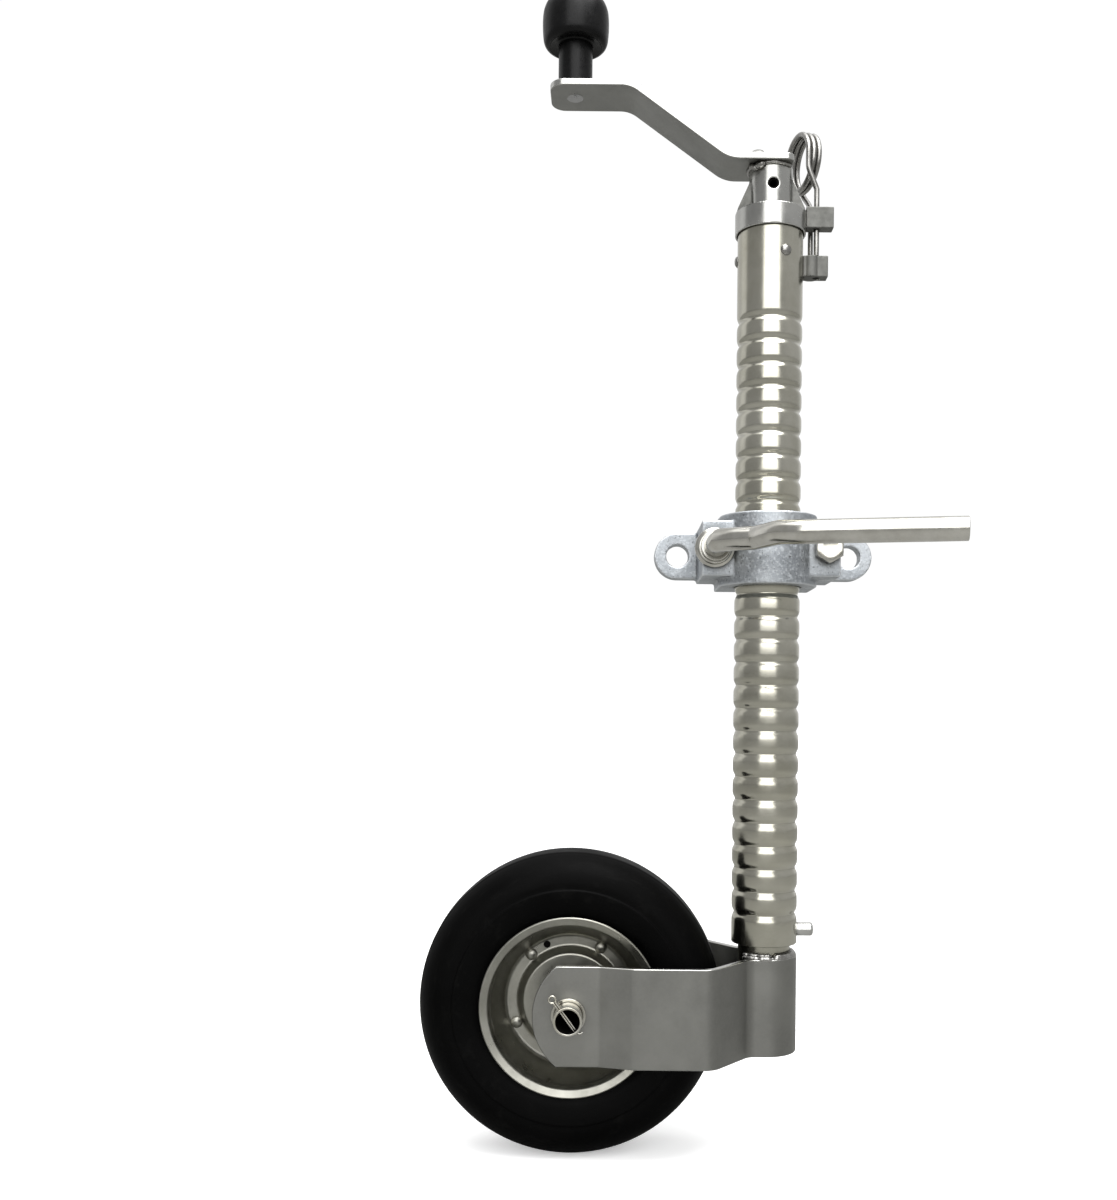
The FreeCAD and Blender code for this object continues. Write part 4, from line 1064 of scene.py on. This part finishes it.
# ---- wheel --------------------------------------------------------------------------------
def tyre():
    """Smooth tyre with a stepped sidewall, a rounded shoulder and a crowned tread."""
    side = TYRE_HALF_WIDTH
    tread = WHEEL_RADIUS
    bead_half = 28.0
    half = [(TYRE_BORE, 0), (TYRE_BORE, bead_half), (RIM_RADIUS - 1.5, bead_half)]
    wall = smooth_line([(RIM_RADIUS + 1.0, bead_half + 1.0), (70, 30.8), (77, 32.0), (83.4, side)], 4)
    step = [(84.0, side - 0.1), (84.4, side - 0.75)]
    upper = smooth_line([(84.9, side - 0.85), (90, side - 1.0), (95.5, side - 2.4), (100.6, side - 5.6),
                         (104.6, side - 9.8), (107.2, side - 14.0), (108.7, side - 17.4)], 4)
    crown = smooth_line([(109.05, side - 17.9), (109.5, 12.4), (tread - 0.25, 7), (tread, 0)], 4)
    half = half + wall + step + upper + crown
    mirrored = [(radius, -offset) for radius, offset in reversed(half[1:-1])]
    piece("tyre", "wheel", "tyre_rubber", turned(half + mirrored, WHEEL_CENTRE, "Y", 160))


def on_wheel(radius, degrees):
    """The X and Z of a point on a circle round the axle."""
    angle = math.radians(degrees)
    return AXLE.x + radius * math.cos(angle), AXLE.z + radius * math.sin(angle)


def rim(node, side, vent_angle):
    """One pressed half of the rim: hub boss, flat disc, sloping wall, bead seat and rolled flange."""
    sheet = RIM_SHEET
    seat = TYRE_BORE
    boss = HUB_TUBE_RADIUS
    outline = [(boss, 7.2, 0.2), (29, 7.2, 4), (36, 2.0, 2), (36, 0.05, 0), (49, 0.05, 3),
               (seat - sheet, 20, 2), (seat - 0.05, 20, 0), (seat - 0.05, 28.2, 2),
               (RIM_RADIUS - 0.5, 29.8, 1.0), (RIM_RADIUS, 31.0, 0.8), (RIM_RADIUS - 1.0, 31.9, 0.8),
               (seat - 0.5, 30.2, 2.5), (seat - sheet, 27, 3), (seat - sheet, 21.5, 3), (48, sheet, 4),
               (39, sheet, 3), (34.5, 9.0, 2.4), (boss, 9.0, 0.2)]
    outline = [(radius, side * offset) for radius, offset in rounded(outline, 0, 5)]
    obj = piece(node, "wheel", "rim_zinc", turned(outline, WHEEL_CENTRE, "Y", 128))
    x, z = on_wheel(RIVET_CIRCLE, vent_angle)
    start, end = sorted((side * -3.0, side * 6.0))
    drilled(obj, x, z, start, end, VENT_RADIUS)

    def unlit(middle, normal):
        """The vent's wall, and the mating face that shows through the other half's vent: both painted black
        as shade.
        """
        on_mating_face = abs(middle.y) < 0.2
        in_vent = math.hypot(middle.x - x, middle.z - z) < VENT_RADIUS + 0.02 and abs(middle.y) < 0.9 * sheet
        return on_mating_face or in_vent

    inked(obj, "painted_shade_black", unlit)


def rim_rivets():
    head = RIM_SHEET + 2.2
    half = [(0, head), (1.8, head - 0.1), (3.3, head - 0.7), (4.2, head - 1.5), (4.4, RIM_SHEET),
            (2.5, RIM_SHEET)]
    outline = half + [(radius, -offset) for radius, offset in reversed(half)]
    shapes = []
    for index in range(RIM_RIVET_COUNT):
        x, z = on_wheel(RIVET_CIRCLE, RIVET_START + 360 / RIM_RIVET_COUNT * index)
        shapes.append(turned(outline, (x, 0, z), "Y", 32))
    piece("rim_rivets", "wheel", "rim_zinc", joined(*shapes))


def hub():
    low, high = box_mm("hub_tube")
    half = (high.y - low.y) / 2
    outline = ring(HUB_TUBE_BORE, HUB_TUBE_RADIUS, -half, half, 0.5)
    piece("hub_tube", "wheel", "rim_zinc", turned(outline, WHEEL_CENTRE, "Y", 72))


# ---- CAD nodes that stay ------------------------------------------------------------------
def repaint():
    """Inner pieces keep their CAD shape and get the same materials."""
    kept = {"bearing_steel": ("thrust_race_lower", "thrust_race_upper", "thrust_balls"),
            "bush_nylon": ("top_bush", "hub_bushes"),
            "machined_steel": ("lead_screw", "screw_retaining_ring", "screw_nut"),
            # the roll pin is painted near-black as the shade of its hole
            "painted_shade_black": ("roll_pin",)}
    for look, nodes in kept.items():
        for node in nodes:
            mesh = frame["nodes"][node].data
            mesh.materials.clear()
            mesh.materials.append(materials[look])


# ---- stage, light and camera --------------------------------------------------------------
def stage():
    """Plain pale floor. Light that bounces off it is dimmer, as if it ended just outside the picture."""
    reach = 14.0
    corners = [(-reach, -reach), (reach, -reach), (reach, reach), (-reach, reach)]
    mesh = bpy.data.meshes.new("floor")
    mesh.from_pydata([Vector((x, y, cad_box[0].z)) for x, y in corners], [], [(0, 1, 2, 3)])
    paint = Paint("floor", 0.7, metallic=0.0)
    seen = paint.add("ShaderNodeLightPath", {}).outputs["Is Camera Ray"]
    pale = paint.ramp(paint.noise(3, 3), (0.3, (0.86, 0.86, 0.86)), (0.7, (0.9, 0.9, 0.9)))
    paint.wire(paint.mix(seen, (0.33, 0.33, 0.32), pale), "Base Color")
    paint.surface.inputs["Emission Color"].default_value = (1, 1, 1, 1)
    paint.wire(paint.maths("MULTIPLY", seen, 0.35), "Emission Strength")
    paint.surface.inputs["Specular IOR Level"].default_value = 0.0
    mesh.materials.append(paint.material)
    floor = bpy.data.objects.new("floor", mesh)
    bpy.context.scene.collection.objects.link(floor)


def surroundings():
    """A soft studio: a tall softbox in front that curls overhead, dim sides and a paler back."""
    world = bpy.data.worlds.new("studio")
    bpy.context.scene.world = world
    world.use_nodes = True
    nodes = world.node_tree.nodes
    mixer = Mixer(world.node_tree)
    way = mixer.add("ShaderNodeTexCoord", {}).outputs["Generated"]
    round_about = mixer.add("ShaderNodeTexGradient", {"Vector": way}, gradient_type="RADIAL").outputs["Fac"]
    height = mixer.add("ShaderNodeSeparateXYZ", {"Vector": way}).outputs["Z"]
    # positions go once round: 0 is -X, 0.25 is -Y (the camera's side), 0.5 is +X and 0.75 is +Y
    high = mixer.ramp(round_about, (0.0, 0.12), (0.160, 0.12), (0.182, 1.0), (0.312, 1.0), (0.336, 0.14),
                      (0.44, 0.17), (0.56, 0.17), (0.66, 0.25), (0.88, 0.22), (0.93, 0.30), (0.972, 0.28),
                      (0.992, 0.12), curve="EASE")
    low = mixer.ramp(round_about, (0.0, 0.08), (0.2, 0.08), (0.28, 0.2), (0.40, 0.15), (0.56, 0.14),
                     (0.66, 0.26), (0.90, 0.26), (0.965, 0.1), curve="EASE")
    around = mixer.mix(mixer.spread(height, 0.0, 0.1, curve="SMOOTHSTEP"), low, high)
    whole = mixer.mix(mixer.spread(height, 0.80, 0.92, curve="SMOOTHSTEP"), around, (0.65, 0.65, 0.65))
    studio = nodes["Background"]
    studio.inputs["Strength"].default_value = 3.4
    mixer.tree.links.new(whole, studio.inputs["Color"])
    backdrop = mixer.add("ShaderNodeBackground", {"Color": (1.02, 1.02, 1.02, 1)})
    seen = mixer.add("ShaderNodeLightPath", {}).outputs["Is Camera Ray"]
    shown = mixer.add("ShaderNodeMixShader", {0: seen, 1: studio.outputs[0], 2: backdrop.outputs[0]})
    mixer.tree.links.new(shown.outputs[0], nodes["World Output"].inputs["Surface"])


def top_light():
    """A round area light high above the camera's side."""
    place = to_frame((150, -450, 1700))
    aim = to_frame((-60, 0, 300))
    data = bpy.data.lights.new("top light", "AREA")
    data.shape = "DISK"
    data.size = 1.2
    data.energy = 20
    obj = bpy.data.objects.new("top light", data)
    obj.location = place
    obj.rotation_mode = "QUATERNION"
    obj.rotation_quaternion = (aim - place).to_track_quat("-Z", "Y")
    bpy.context.scene.collection.objects.link(obj)


def camera():
    """Level camera on the near side, a little left of the tube, at the height of the tube's lower third."""
    data = bpy.data.cameras.new("camera")
    data.sensor_fit = "AUTO"
    data.sensor_width = 36.0
    data.lens = 36.57
    data.shift_x = -0.043
    data.shift_y = 0.0875
    data.clip_start = 0.01
    data.clip_end = 100.0
    obj = bpy.data.objects.new("camera", data)
    obj.location = to_frame((-115, -900, 326.4))
    obj.rotation_euler = (math.radians(90), math.radians(-0.55), 0)
    bpy.context.scene.collection.objects.link(obj)
    bpy.context.scene.camera = obj


clamp_pieces()
hex_bolt()
dished_washer()
handle()
jack_tube()
stud()
rivets_in_tube()
crank_pieces()
arm()
arm_welds()
knob_rivet()
knob()
clip()
leg_tube()
strap()
strap_welds()
axle_pieces()
split_pins()
tyre()
rim("rim_near", -1, VENT_ANGLE)
rim("rim_far", 1, VENT_ANGLE + 360 / RIM_RIVET_COUNT)
rim_rivets()
hub()
repaint()
stage()
surroundings()
top_light()
camera()
bpy.context.scene.view_settings.view_transform = "Standard"
